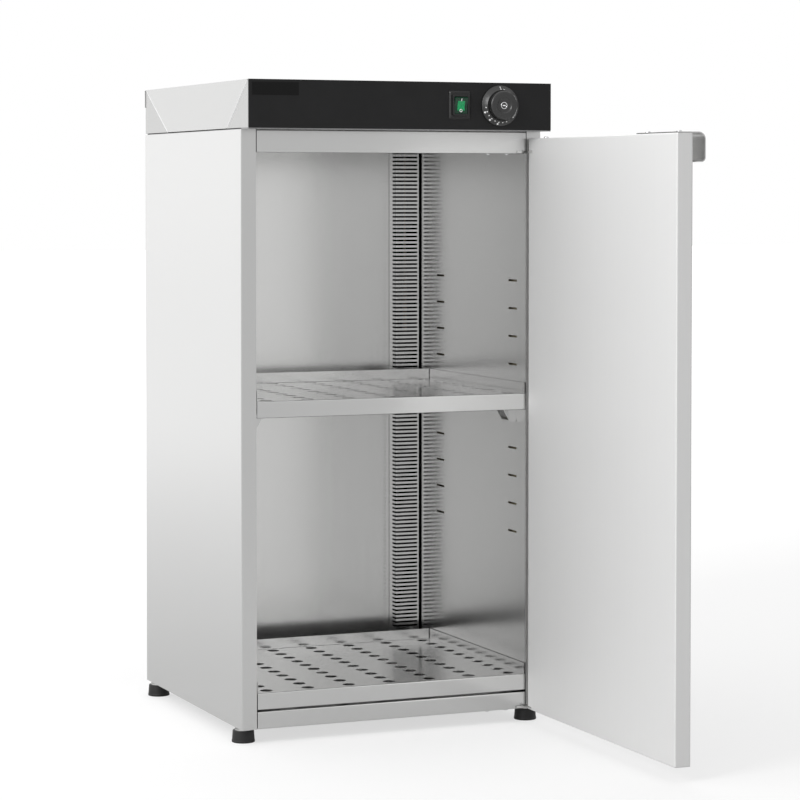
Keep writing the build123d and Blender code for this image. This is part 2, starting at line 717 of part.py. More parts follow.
def door_outer_pan():
    """Outer face of the door with short flanges tucked inside the inner pan's edges."""
    face = door_box(0, (Y_DOOR_OUTER, Y_DOOR_OUTER + SHEET))
    face = fillet(face.edges().filter_by(Axis.Y), BEND_RADIUS)
    rim = door_box(SHEET + FIT, (Y_DOOR_OUTER, Y_DOOR_OUTER + DOOR_SEAM))
    rim -= door_box(2 * SHEET + FIT, (Y_DOOR_OUTER - SKIN, Y_DOOR_OUTER + DOOR_SEAM + SKIN))
    return face + rim - door_slots()


def door_insulation():
    """Mineral wool slab between the door's two skins and its hinge blocks."""
    margin = 2 * SHEET + SKIN
    x = (X_DOOR_FREE + margin, X_DOOR_HINGE - margin)
    y = (Y_DOOR_OUTER + SHEET + CLEARANCE, Y_DOOR - SHEET - STRIKE_THICKNESS - CLEARANCE)
    return block(x, y, (Z_DOOR + 2 * BLOCK_HEIGHT, Z_HEADER - BLOCK_HEIGHT))


def block_screw_place():
    return X_PIVOT - BLOCK_SCREW, Y_DOOR - DOOR_THICKNESS / 2


def hinge_block(name):
    """Nylon block in the door that turns on a hinge pin."""
    level = hinge_levels()[name] + HINGE_PLATE + HINGE_SLIT
    x_edge = X_DOOR_HINGE - SHEET
    y = (Y_DOOR - SHEET - BLOCK_DEPTH, Y_DOOR - SHEET)
    if name == "upper":
        body = block((x_edge - BLOCK_LENGTH, x_edge), y, (level, Z_DOOR_TOP - SHEET))
        z_screw = Z_DOOR_TOP
    else:
        body = block((x_edge - BLOCK_LENGTH, x_edge), y, (Z_DOOR + SHEET, level + BLOCK_HEIGHT))
        body -= door_slot(Z_FLOOR)
        z_screw = Z_DOOR
    body -= rod(PIN_RADIUS + PIN_CLEARANCE, (X_PIVOT, Y_PIVOT, level - SKIN), (0, 0, 1), PIN_LENGTH)
    return body - screw_hole(*block_screw_place(), z_screw)


def hinge_block_screws():
    """Screws that hold the nylon blocks to the door's top and bottom edges."""
    top = pan_screw(*block_screw_place(), Z_DOOR_TOP)
    bottom = pan_screw(*block_screw_place(), Z_DOOR, down=False)
    return Compound([top, bottom])


def handle_screw_places():
    middle = X_DOOR_FREE + HANDLE_LENGTH / 2
    y = Y_DOOR - DOOR_THICKNESS / 2
    return [(middle + side * HANDLE_SCREW_PITCH / 2, y) for side in SIDES.values()]


def door_handle():
    """Folded grip on the door's top edge at its free end."""
    z_top = Z_DOOR_TOP + HANDLE_SHEET
    y_out = Y_DOOR_OUTER - HANDLE_REACH
    z_low = z_top - HANDLE_DROP
    profile = [(Y_DOOR - HANDLE_SETBACK, z_top), (y_out, z_top),
               (y_out, z_low), (y_out + HANDLE_LIP, z_low)]
    radii = [HANDLE_TOP_RADIUS, HANDLE_LIP_RADIUS]
    grip = folded(profile, Plane.YZ.offset(X_DOOR_FREE), HANDLE_LENGTH, HANDLE_SHEET, radii)
    return grip - [screw_hole(x, y, z_top) for x, y in handle_screw_places()]


def handle_screws():
    z = Z_DOOR_TOP + HANDLE_SHEET
    return Compound([pan_screw(x, y, z) for x, y in handle_screw_places()])


def catch_strike():
    """Steel plate inside the door opposite the magnet."""
    x, z = catch_place()
    y = Y_DOOR - SHEET
    z_reach = CATCH_HEIGHT / 2
    return block((x, x + CATCH_WIDTH), (y - STRIKE_THICKNESS, y), (z - z_reach, z + z_reach))


# Switch


def rocker_pin(radius, length):
    """Round bar along the rocker's axis, of a given whole length."""
    return rod(radius, (X_SWITCH - length / 2, Y_CAP - ROCKER_AXIS, Z_CONTROLS), (1, 0, 0), length)


def switch_bezel():
    """Bevelled plate and raised collar of the switch, with the bores that the rocker hangs in."""
    plane = Plane(origin=(X_SWITCH, Y_CAP, Z_CONTROLS), x_dir=(1, 0, 0), z_dir=(0, -1, 0))
    base = plane * extrude(RectangleRounded(BEZEL_WIDTH, BEZEL_HEIGHT, BEZEL_CORNER), amount=BEZEL_PLATE)
    base = chamfer(base.faces().sort_by(Axis.Y)[0].edges(), BEZEL_BEVEL)
    raised = RectangleRounded(COLLAR_WIDTH, COLLAR_HEIGHT, BEZEL_CORNER)
    collar = plane * extrude(raised, amount=COLLAR_DEPTH)
    collar = fillet(collar.faces().sort_by(Axis.Y)[0].edges(), COLLAR_EDGE)
    bezel = base + collar - Pos(X_SWITCH, Y_CAP, Z_CONTROLS) * Box(WINDOW_WIDTH, THROUGH, WINDOW_HEIGHT)
    return bezel - rocker_pin(ROCKER_PIN + PIN_CLEARANCE, WINDOW_WIDTH + 2 * ROCKER_PIN_REACH + CLEARANCE)


def switch_rocker():
    """Rocker with a shallow V face, tipped with its lower end pressed in."""
    reach = WINDOW_HEIGHT / 2 - CLEARANCE
    width = WINDOW_WIDTH - 2 * CLEARANCE
    rise = reach * sin(radians(ROCKER_TILT))
    outline = Polyline((reach, ROCKER_FACE + rise), (0, ROCKER_FACE), (-reach, ROCKER_FACE + rise),
                       (-reach, -ROCKER_BACK), (reach, -ROCKER_BACK), close=True)
    section = make_face(outline) & Circle(reach)
    across = Plane(origin=(-width / 2, 0, 0), x_dir=(0, 0, 1), z_dir=(1, 0, 0))
    rocker = Rot(ROCKER_TILT, 0, 0) * (across * extrude(section, amount=width))
    rocker = Pos(X_SWITCH, Y_CAP - ROCKER_AXIS, Z_CONTROLS) * rocker
    return rocker + rocker_pin(ROCKER_PIN, WINDOW_WIDTH + 2 * ROCKER_PIN_REACH)


def switch_body():
    """Housing of the switch behind the panel, open in front for the rocker."""
    x = SWITCH_NECK_WIDTH / 2 - FIT
    z = SWITCH_NECK_HEIGHT / 2 - FIT
    y_back = Y_PANEL + SWITCH_BODY_DEPTH
    body = block((X_SWITCH - x, X_SWITCH + x), (Y_CAP, y_back), (Z_CONTROLS - z, Z_CONTROLS + z))
    y_well = Y_CAP - ROCKER_AXIS + ROCKER_WELL
    body -= Pos(X_SWITCH, y_well, Z_CONTROLS) * Box(
        WINDOW_WIDTH, THROUGH, WINDOW_HEIGHT, align=(Align.CENTER, Align.MAX, Align.CENTER))
    blade = Box(BLADE_WIDTH, BLADE_LENGTH, BLADE_THICKNESS)
    blades = [Pos(X_SWITCH + dx, y_back + BLADE_LENGTH / 2, Z_CONTROLS + dz) * blade
              for dx in (-WIRE_RADIUS * 2, WIRE_RADIUS * 2) for dz in (-BLADE_LENGTH, BLADE_LENGTH)]
    return body + blades


# Thermostat


def turned(points, centre):
    """Solid of revolution about the Y axis: points are radius and distance out of the panel."""
    section = make_face(Polyline(*points, close=True))
    body = revolve(Plane.XY * section, Axis.Y)
    return Pos(*centre) * Rot(180, 0, 0) * body


def thermostat_knob():
    """Knob with a conical dial skirt, a grip and a dimple in its face."""
    face = KNOB_DEPTH
    floor = face - DIMPLE_DEPTH
    profile = [(0, KNOB_GAP), (SKIRT_RADIUS, KNOB_GAP), (SKIRT_RADIUS, KNOB_GAP + SKIRT_EDGE),
               (SKIRT_SHOULDER, SKIRT_DEPTH), (KNOB_RADIUS, SKIRT_DEPTH), (KNOB_RADIUS, face - KNOB_EDGE),
               (KNOB_RADIUS - KNOB_EDGE, face), (DIMPLE_RADIUS, face),
               (DIMPLE_RADIUS - DIMPLE_DEPTH, floor), (0, floor)]
    centre = (X_KNOB, Y_CAP, Z_CONTROLS)
    knob = turned(profile, centre)
    bush = rod(BUSH_RADIUS + SKIN, centre, (0, -1, 0), BUSH_LENGTH + SKIN)
    return knob - bush - rod(SHAFT_RADIUS + FIT, centre, (0, -1, 0), SHAFT_REACH + CLEARANCE)


def thermostat_shaft():
    """Shaft from inside the thermostat to the bottom of the knob's bore."""
    y_inner = Y_PANEL + SHAFT_ROOT
    return rod(SHAFT_RADIUS, (X_KNOB, y_inner, Z_CONTROLS), (0, -1, 0), y_inner - Y_CAP + SHAFT_REACH)


def thermostat_body():
    """Thermostat behind the panel with the bush that its shaft turns in."""
    half = THERMOSTAT_SIZE / 2
    body = block((X_KNOB - half, X_KNOB + half), (Y_PANEL, Y_PANEL + THERMOSTAT_DEPTH),
                 (Z_CONTROLS - half, Z_CONTROLS + half))
    body = fillet(body.edges().filter_by(Axis.Y), BUSH_RADIUS)
    bush_length = SKIN + PANEL_THICKNESS + BUSH_LENGTH
    body += rod(BUSH_RADIUS, (X_KNOB, Y_PANEL + SKIN, Z_CONTROLS), (0, -1, 0), bush_length)
    y_bore = Y_PANEL + SHAFT_ROOT + PIN_CLEARANCE
    return body - rod(SHAFT_RADIUS + PIN_CLEARANCE, (X_KNOB, y_bore, Z_CONTROLS), (0, -1, 0), THROUGH)


def duct_centre():
    return X_LINER - DUCT_WIDTH / 2, Y_LINER - DUCT_DEPTH / 2


def capillary_hole(z):
    x, y = duct_centre()
    return Pos(x, y, z) * Cylinder(PROBE_RADIUS + CLEARANCE, THROUGH / 2)


def thermostat_capillary():
    """Thin tube from the thermostat across the cap and down the duct to its probe."""
    x, y = duct_centre()
    y_start = Y_PANEL + THERMOSTAT_DEPTH
    z_start = Z_CONTROLS - THERMOSTAT_SIZE / 4
    z_run = Z_BODY + CAPILLARY_RISE
    z_probe = Z_BASE + PROBE_LEVEL
    points = [(X_KNOB, y_start, z_start), (X_KNOB, y_start + LEAD, z_start),
              (X_KNOB, y_start + 2 * LEAD, z_run), (X_KNOB, 0, z_run), (x, 3 * LEAD, z_run),
              (x, y, z_run), (x, y, z_probe + PROBE_LENGTH)]
    probe = rod(PROBE_RADIUS, (x, y, z_probe), (0, 0, 1), PROBE_LENGTH)
    return tube(points, CAPILLARY_RADIUS, CAPILLARY_BEND) + probe


# Heating element, wiring and mains inlet


def element_lanes():
    """The four front-to-back legs of the heating element."""
    x_last = X_LINER - ELEMENT_SIDE
    pitch = 2 * x_last / (ELEMENT_LEGS - 1)
    return [step * pitch - x_last for step in range(ELEMENT_LEGS)]


def element_tail_xs():
    return [element_lanes()[0], element_lanes()[-1]]


def element_ends_y():
    """Front and rear turns of the heating element."""
    return Y_FRONT + ELEMENT_FRONT, Y_LINER - ELEMENT_REAR


def heating_element():
    """Tubular element in an M under the bottom tray, with both tails through the back wall."""
    y_tail = Y_LINER + ELEMENT_TAIL
    y_front, y_rear = element_ends_y()
    turns = [(y_tail, y_front), (y_front, y_rear), (y_rear, y_front), (y_front, y_tail)]
    points = [(x, y, Z_ELEMENT) for x, ends in zip(element_lanes(), turns) for y in ends]
    return tube(points, ELEMENT_RADIUS, ELEMENT_BEND)


def element_supports():
    """Two notched strips across the floor that hold the heating element."""
    x_end = element_lanes()[-1] + SUPPORT_FOOT
    y_front, y_rear = element_ends_y()
    notch = ELEMENT_RADIUS + FIT
    strips = []
    for y in (y_front + SUPPORT_INSET, y_rear - SUPPORT_INSET):
        strip = block((-x_end, x_end), (y, y + SUPPORT_THICKNESS), (Z_FLOOR, Z_ELEMENT + ELEMENT_RADIUS))
        strip += block((-x_end, x_end), (y, y + SUPPORT_FOOT), (Z_FLOOR, Z_FLOOR + SUPPORT_THICKNESS))
        for x in element_lanes():
            strip -= rod(notch, (x, y - SKIN, Z_ELEMENT), (0, 1, 0), SUPPORT_THICKNESS + 2 * SKIN)
            strip -= block((x - notch, x + notch), (y - SKIN, y + SUPPORT_THICKNESS + SKIN),
                           (Z_ELEMENT, Z_TRAY))
        strips.append(strip)
    return Compound(strips)


def terminal_place():
    """Middle of the terminal block and the height of its wire entries."""
    return X_GLAND, Y_LINER - TERMINAL_WIDTH, Z_BODY + SHEET + TERMINAL_HEIGHT / 2


def terminal_block():
    """Terminal block on the cap's floor, with its row of screw wells."""
    x, y, z = terminal_place()
    body = Pos(x, y, z) * Box(TERMINAL_LENGTH, TERMINAL_WIDTH, TERMINAL_HEIGHT)
    well = Pos(0, y, z + TERMINAL_HEIGHT / 2) * Cylinder(WELL_RADIUS, TERMINAL_HEIGHT / 2)
    return body - [Pos(x + step * WELL_PITCH, 0, 0) * well for step in range(-2, 3)]


def wire_lanes():
    """Places where the wires come up through the cap's floor behind the heated space."""
    y = Y_LINER + WIRE_LANE
    return {"mains": (X_GLAND, y), "element": (X_GLAND + WIRE_SPACING, y)}


def wire_holes():
    return [Pos(x, y, Z_BODY) * Cylinder(WIRE_RADIUS + SKIN, THROUGH / 2)
            for x, y in wire_lanes().values()]


def wiring_loom():
    """Sleeved wires: mains to the terminals, then on to the element, the switch and the thermostat."""
    x_terminal, y_terminal, z_top = terminal_place()
    y_rear = y_terminal + TERMINAL_WIDTH / 2
    y_front = y_terminal - TERMINAL_WIDTH / 2
    x_main, y_lane = wire_lanes()["mains"]
    x_heat, y_lane = wire_lanes()["element"]
    x_tail = element_tail_xs()[0]
    y_tail = Y_LINER + ELEMENT_TAIL
    z_gland = Z_BASE + GLAND_LEVEL
    mains = [(x_main, Y_BACK - GLAND_ROOT, z_gland), (x_main, y_lane, z_gland), (x_main, y_lane, z_top),
             (x_main, y_rear, z_top)]
    element = [(x_heat, y_rear, z_top), (x_heat, y_lane, z_top), (x_heat, y_lane, Z_ELEMENT + 3 * LEAD),
               (x_tail, y_tail, Z_ELEMENT + LEAD), (x_tail, y_tail, Z_ELEMENT + ELEMENT_RADIUS)]
    runs = [mains, element]
    ends = [(x_terminal - WELL_PITCH, X_SWITCH, Y_PANEL + SWITCH_BODY_DEPTH + BLADE_LENGTH, -3 * LEAD),
            (x_terminal + WELL_PITCH, X_KNOB - THERMOSTAT_SIZE / 4, Y_PANEL + THERMOSTAT_DEPTH, -2 * LEAD)]
    for x_start, x_end, y_end, y_mid in ends:
        runs.append([(x_start, y_front, z_top), (x_start, y_mid + 6 * LEAD, z_top), (x_end, y_mid, z_top),
                     (x_end, y_end + LEAD, Z_CONTROLS), (x_end, y_end, Z_CONTROLS)])
    return Compound([tube(run, WIRE_RADIUS, WIRE_BEND) for run in runs])


def cable_gland():
    """Mains gland through the outer back, with its nuts on both faces and its bore."""
    z = Z_BASE + GLAND_LEVEL
    face = Plane(origin=(X_GLAND, Y_BACK - SHEET, z), x_dir=(1, 0, 0), z_dir=(0, 1, 0))
    outer = face * extrude(RegularPolygon(GLAND_NUT, 6), amount=GLAND_HEX)
    dome = rod(GLAND_DOME, (X_GLAND, Y_BACK - SHEET, z), (0, 1, 0), GLAND_LENGTH)
    dome = fillet(dome.faces().sort_by(Axis.Y)[-1].edges(), GLAND_DOME - GLAND_RADIUS)
    inner = Plane(origin=(X_GLAND, Y_BACK - 2 * SHEET, z), x_dir=(1, 0, 0), z_dir=(0, -1, 0))
    nut = inner * extrude(RegularPolygon(GLAND_NUT - SKIN, 6), amount=GLAND_ROOT - 2 * SHEET)
    thread = rod(GLAND_RADIUS, (X_GLAND, Y_BACK - GLAND_ROOT, z), (0, 1, 0), GLAND_ROOT)
    return outer + dome + nut + thread - rod(GLAND_BORE, (X_GLAND, Y_LINER, z), (0, 1, 0), 2 * THROUGH)


# Feet


def foot_places():
    return [(x * X_FOOT, y * Y_FOOT) for y in (-1, 1) for x in (-1, 1)]


def foot_names():
    return ["front_left", "front_right", "rear_left", "rear_right"]


def foot_cup(x, y):
    """Plastic foot with an upright band and a tapered wall round its stud."""
    profile = [(0, 0), (FOOT_RADIUS, 0), (FOOT_RADIUS, FOOT_BAND),
               (FOOT_TOP_RADIUS, CUP_HEIGHT), (0, CUP_HEIGHT)]
    cup = revolve(Plane.XZ * make_face(Polyline(*profile, close=True)), Axis.Z)
    return Pos(x, y, 0) * (cup - rod(STUD_RADIUS + FIT, (0, 0, STUD_ROOT), (0, 0, 1), CUP_HEIGHT))


def foot_stud(x, y):
    """Threaded stud with the bright flange that lies on the foot."""
    z_washer = CUP_HEIGHT + WASHER_HEIGHT
    profile = [(0, STUD_ROOT + FIT), (STUD_RADIUS, STUD_ROOT + FIT), (STUD_RADIUS, CUP_HEIGHT),
               (WASHER_RADIUS, CUP_HEIGHT), (WASHER_RADIUS, z_washer), (STUD_RADIUS, z_washer),
               (STUD_RADIUS, STUD_TOP - STUD_CHAMFER), (STUD_RADIUS - STUD_CHAMFER, STUD_TOP),
               (0, STUD_TOP)]
    return Pos(x, y, 0) * revolve(Plane.XZ * make_face(Polyline(*profile, close=True)), Axis.Z)


def foot_nuts():
    """Nuts fixed on the floor that the foot studs screw through."""
    nuts = []
    for x, y in foot_places():
        hexagon = RegularPolygon(NUT_FLATS / 2, 6, major_radius=False)
        hexagon -= Circle(STUD_RADIUS + STUD_CLEARANCE)
        nuts.append(Pos(x, y, Z_FLOOR) * extrude(hexagon, amount=NUT_HEIGHT))
    return Compound(nuts)


# Assembly

nodes = {
    "liner_back": liner_back(),
    "header_channel": header_channel(),
    "ceiling_liner": ceiling_liner(),
    "base_pan": base_pan(),
    "back_panel": back_panel(),
    "wall_insulation": wall_insulation(),
    "catch_magnet": catch_magnet(),
    "cap_frame": cap_frame(),
    "cap_cover": cap_cover(),
    "control_panel": control_panel(),
    "panel_screws": panel_screws(),
    "middle_shelf": perforated_tray(Z_SHELF),
    "bottom_tray": perforated_tray(Z_TRAY),
    "duct_cover": duct_cover(),
    "hinge_pins": hinge_pins(),
    "hinge_screws": hinge_screws(),
    "door_inner_pan": opened(door_inner_pan()),
    "door_outer_pan": opened(door_outer_pan()),
    "door_insulation": opened(door_insulation()),
    "door_handle": opened(door_handle()),
    "handle_screws": opened(handle_screws()),
    "catch_strike": opened(catch_strike()),
    "hinge_block_screws": opened(hinge_block_screws()),
    "switch_bezel": switch_bezel(),
    "switch_rocker": switch_rocker(),
    "switch_body": switch_body(),
    "thermostat_knob": thermostat_knob(),
    "thermostat_shaft": thermostat_shaft(),
    "thermostat_body": thermostat_body(),
    "thermostat_capillary": thermostat_capillary(),
    "heating_element": heating_element(),
    "element_supports": element_supports(),
    "terminal_block": terminal_block(),
    "wiring_loom": wiring_loom(),
    "cable_gland": cable_gland(),
    "foot_nuts": foot_nuts(),
}
for name, level in hinge_levels().items():
    nodes[f"hinge_plate_{name}"] = hinge_plate(level)
    nodes[f"hinge_block_{name}"] = opened(hinge_block(name))
for name, side in SIDES.items():
    nodes[f"side_panel_{name}"] = side_panel(side)
    nodes[f"liner_{name}"] = liner_side(side)
    nodes[f"tray_rail_{name}"] = tray_rail(side)
    for end, y in slot_places().items():
        nodes[f"shelf_clip_{end}_{name}"] = shelf_clip(side, y)
for name, (x, y) in zip(foot_names(), foot_places()):
    nodes[f"foot_cup_{name}"] = foot_cup(x, y)
    nodes[f"foot_stud_{name}"] = foot_stud(x, y)

os.makedirs("parts", exist_ok=True)
for name, shape in nodes.items():
    export_step(shape, f"parts/{name}.step")
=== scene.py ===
import json
from math import atan2, cos, hypot, pi, radians, sin

import bmesh
import bpy
from mathutils import Matrix, Vector


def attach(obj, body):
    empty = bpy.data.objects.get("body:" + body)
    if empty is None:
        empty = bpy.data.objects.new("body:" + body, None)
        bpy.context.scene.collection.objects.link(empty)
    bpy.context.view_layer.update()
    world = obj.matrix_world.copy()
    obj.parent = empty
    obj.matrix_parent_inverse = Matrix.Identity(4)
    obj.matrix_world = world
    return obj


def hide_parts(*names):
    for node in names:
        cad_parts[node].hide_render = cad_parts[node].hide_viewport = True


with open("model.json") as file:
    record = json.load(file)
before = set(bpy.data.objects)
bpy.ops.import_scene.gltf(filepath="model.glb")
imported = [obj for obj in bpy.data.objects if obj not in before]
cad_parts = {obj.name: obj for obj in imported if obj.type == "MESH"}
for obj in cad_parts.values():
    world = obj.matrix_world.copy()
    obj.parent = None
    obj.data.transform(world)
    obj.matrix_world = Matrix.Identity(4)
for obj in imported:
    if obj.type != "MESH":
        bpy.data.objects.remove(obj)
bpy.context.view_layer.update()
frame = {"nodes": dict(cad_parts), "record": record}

MM = 0.001

# Camera, in metres and degrees, fitted to the cabinet's edges. Its picture is 800 x 800.
CAMERA_PLACE = (-1.466786, -3.739184, 0.755513)
CAMERA_YAW = -22.723
CAMERA_PITCH = -2.173
CAMERA_LENS = 123.825
CAMERA_SENSOR = 36
CAMERA_SHIFT = -0.13

# Control panel, in millimetres
PANEL_Y = -248
CONTROL_Z = 875
KNOB_X = 146
SWITCH_X = 85.1
ROCKER_AXIS = 1.5
ROCKER_TILT = 10
ROCKER_CREST = 2.5
ROCKER_SLOPE = 10

# Screws
HEAD_RADIUS = 3.6
HEAD_HEIGHT = 2.2
RECESS_DEPTH = 1.2
RECESS_LENGTH = 3.6
RECESS_WIDTH = 0.9
SHANK_RADIUS = 2
SHANK_LENGTH = 10
THREAD_PITCH = 0.7
THREAD_DEPTH = 0.3

# Seats of the screws
DOOR_MIDDLE_X = 214
DOOR_FOOT = 20.2
DOOR_TOP = 830.2
HANDLE_MIDDLE_Y = -602.5
HANDLE_SCREW_REACH = 42
HANDLE_TOP = 831.7
BLOCK_SCREW_Y = -257
HINGE_SCREW_Y = -205
HINGE_SCREW_TURNS = {147: 15, 176: 50}
HINGE_LEVELS = (808.8, 20)
BACK_SCREW_X = 219
BACK_SCREW_Z = 430
BACK_SCREW_PITCH = 340
BACK_Y = 215
CAP_SCREW_X = 143
CAP_SCREW_Y = -207
CAP_SCREW_Z = 841

# Knob: its profile's main radii and heights, out from the panel
SKIRT_BACK = 0.5
SKIRT_RIM = 27.7
CONE_FOOT = (27.5, 2.5)
CONE_TOP = (22.1, 7.4)
GRIP_FOOT = (20.3, 7.8)
GRIP_TOP = (20.2, 13.9)
GRIP_EDGE = 2.5
DIMPLE_EDGE = 11.6
DIMPLE_FLOOR = 14.6
CAP_RADIUS = 3.7
CHROME_RADIUS = 4.9
MARK_SINK = 0.1
MARK_HEIGHT = 0.08

# Name place on the panel
LABEL_X = -186.6
LABEL_Z = 894.4
LABEL_SIZE = (67, 17.6)

# Black bars of painted shade in the gaps at the header's ends, and folds of the cap's skirts
JOINT_WIDTH = 1.2
JOINT_DEPTH = 0.6
JOINT_SETBACK = 0.25
HEADER_END_X = 203
HEADER_Y = -215
HEADER_LEVELS = {-1: (808.8, 839.8), 1: (813.4, 839.8)}
SKIRT_X = 224
FOLD_WIDTHS = {"front": 1.5, "rear": 3.2}
FOLD_HEIGHT = 0.97
FOLD_LAP = 0.6
FOLD_ENDS = {"front": ((-240.7, 906), (-158.3, 843)), "rear": ((207.3, 906), (104.7, 843))}

# Feet
FOOT_XS = {"left": -214, "right": 214}
FOOT_YS = {"front": -190, "rear": 190}

# Mains gland
GLAND_PLACE = (-150, 214, 60)
GLAND_BORE = 4
GLAND_BODY = 12
GLAND_LOCK = 11
GLAND_LOCK_BORE = 7.98
GLAND_DOME = 9.5
GLAND_RIBS = 24
GLAND_GROOVE = 0.5

# Top of the cap frame's lip, below which the frame carries painted shade, and the inner corner and painted
# shade of the air duct, in metres
LIP_TOP = 0.8421
LIP_BLEND = 0.0002
DUCT_CORNER = (0.1622, 0.1667)
DUCT_PAINTED_SHADE = (0.03, 0.03, 0.03)

# Brushed grain: its scale across and along, for the hair lines and for the broad bands
HAIR = (2400, 9)
BAND = (220, 1.5)
HAIR_BUMP = (0.05, 0.00002)

# Steel tones; the door's is painted light, the flaps' and the lip's are painted shade, the fold's is a
# painted highlight
X, Y, Z = 0, 1, 2
OUTER = (0.74, 0.74, 0.735)
INNER = (0.74, 0.74, 0.735)
DOOR_PAINTED_LIGHT = (0.9, 0.9, 0.895)
LID = (0.64, 0.64, 0.635)
FLAPS_PAINTED_SHADE = (0.55, 0.55, 0.545)
LIP_PAINTED_SHADE = (0.3, 0.3, 0.3)
FOLD_PAINTED_HIGHLIGHT = (0.93, 0.93, 0.93)

# Floor, backdrop and light, in metres. Metal sees the white backdrop in part.
METAL_SHARE = 0.4
FLOOR_SIZE = 30
# The floor's darker colour is painted shade near the cabinet, its lighter colour lies far behind it
FLOOR_PAINTED_SHADE = (0.36, 0.36, 0.36)
FLOOR_LIGHT = (0.9, 0.9, 0.9)
FLOOR_WAY = (-0.39, 0.92, 0)
FLOOR_SHADE_FADE = (0.4, 4.5)
FLOOR_GLOW = 0.58
BRIGHT_SIDE = (-0.75, 0.6, 0.3)
ROOM_SPAN = 0.85
ROOM_DIM = 0.34
ROOM_BRIGHT = 1.24
KEY_PLACE = (-2.6, -1.5, 2.3)
KEY_TARGET = (0.1, -0.3, 0.6)
KEY_SIZE = (1.2, 1.8)
KEY_POWER = 40


# Node helpers for the materials


class Shader:
    """A Principled material whose inputs are given as constants or as node outputs."""

    def __init__(self, name):
        self.material = bpy.data.materials.new(name)
        self.material.use_nodes = True
        self.tree = self.material.node_tree
        self.body = next(n for n in self.tree.nodes if n.type == "BSDF_PRINCIPLED")
        self.place = self.tree.nodes.new("ShaderNodeTexCoord").outputs["Object"]

    def add(self, kind, inputs=(), **settings):
        node = self.tree.nodes.new(kind)
        for key, value in settings.items():
            setattr(node, key, value)
        for key, value in dict(inputs).items():
            self.feed(node.inputs[key], value)
        return node

    def feed(self, socket, value):
        if isinstance(value, bpy.types.NodeSocket):
            self.tree.links.new(value, socket)
        else:
            socket.default_value = value

    def stretched(self, scale):
        """Object coordinates multiplied along each axis."""
        return self.add("ShaderNodeMapping", {"Vector": self.place, "Scale": scale}).outputs["Vector"]

    def noise(self, scale, detail=2.0, roughness=0.5, size=1.0):
        inputs = {"Vector": self.stretched(scale), "Scale": size, "Detail": detail, "Roughness": roughness}
        return self.add("ShaderNodeTexNoise", inputs).outputs["Fac"]

    def span(self, value, low, high, start=0.3, stop=0.7):
        """The value's range from start to stop carried to low and high."""
        inputs = {"Value": value, "From Min": start, "From Max": stop, "To Min": low, "To Max": high}
        return self.add("ShaderNodeMapRange", inputs).outputs["Result"]

    def math(self, operation, first, second):
        return self.add("ShaderNodeMath", {0: first, 1: second}, operation=operation).outputs["Value"]

    def mixed(self, factor, start, stop):
        """Colour between two others, which are the seventh and eighth inputs of the mix."""
        return self.add("ShaderNodeMix", {0: factor, 6: start, 7: stop}, data_type="RGBA").outputs[2]

    def tone(self, factor, dark, light):
        """Colour between two constant tones."""
        return self.mixed(factor, (*dark, 1), (*light, 1))

    def in_duct(self):
        """Factor that is 1 inside the air duct, where the steel gets painted shade."""
        axes = self.add("ShaderNodeSeparateXYZ", {0: self.place})
        across = self.math("GREATER_THAN", axes.outputs["X"], DUCT_CORNER[0])
        return self.math("MULTIPLY", across, self.math("GREATER_THAN", axes.outputs["Y"], DUCT_CORNER[1]))

    def bump(self, height, strength, distance):
        inputs = {"Height": height, "Strength": strength, "Distance": distance}
        return self.add("ShaderNodeBump", inputs).outputs["Normal"]

    def finish(self, **inputs):
        for key, value in inputs.items():
            self.feed(self.body.inputs[key.replace("_", " ")], value)
        return self.material


def scaled(colour, factor):
    return tuple(channel * factor for channel in colour)


def grained(scale, along):
    """Scale of a noise that is drawn out along one axis."""
    return [scale[1] if axis == along else scale[0] for axis in (X, Y, Z)]


def brushed(name, colour, roughness, along, contrast=0.012, metallic=1.0, duct=False):
    """Brushed sheet steel with its grain along one axis; inside the air duct it may carry painted shade,
    near black.
    """
    shader = Shader(name)
    hair = shader.noise(grained(HAIR, along), detail=3)
    streak = shader.noise(grained(BAND, along), detail=2)
    cloud = shader.noise((5, 5, 3), detail=3)
    mixed = shader.math("ADD", shader.math("MULTIPLY", hair, 0.45), shader.math("MULTIPLY", streak, 0.3))
    mixed = shader.math("ADD", mixed, shader.math("MULTIPLY", cloud, 0.25))
    base = shader.tone(shader.span(mixed, 0, 1), scaled(colour, 1 - contrast), scaled(colour, 1 + contrast))
    # Painted shade: near black inside the air duct, where there is only shade
    if duct:
        base = shader.mixed(shader.in_duct(), base, (*DUCT_PAINTED_SHADE, 1))
    rough = shader.span(mixed, roughness - 0.02, roughness + 0.02)
    return shader.finish(Base_Color=base, Metallic=metallic, Roughness=rough,
                         Normal=shader.bump(hair, *HAIR_BUMP))


def bright_metal(name, colour, roughness):
    """Turned or plated metal with faint wear."""
    shader = Shader(name)
    haze = shader.noise((260, 260, 260), detail=4)
    base = shader.tone(shader.span(haze, 0, 1), scaled(colour, 0.93), scaled(colour, 1.03))
    rough = shader.span(haze, roughness, roughness + 0.1)
    return shader.finish(Base_Color=base, Metallic=1.0, Roughness=rough,
                         Normal=shader.bump(haze, 0.08, 0.00005))


def moulding(name, colour, roughness, grain=2200, depth=0.00003, specular=0.5):
    """Moulded plastic or paint with a fine even texture."""
    shader = Shader(name)
    pebble = shader.noise((grain, grain, grain), detail=2)
    cloud = shader.noise((30, 30, 30), detail=3)
    base = shader.tone(shader.span(cloud, 0, 1), scaled(colour, 0.88), scaled(colour, 1.12))
    rough = shader.span(pebble, roughness - 0.04, roughness + 0.06)
    return shader.finish(Base_Color=base, Roughness=rough, Specular_IOR_Level=specular,
                         Normal=shader.bump(pebble, 0.25, depth))


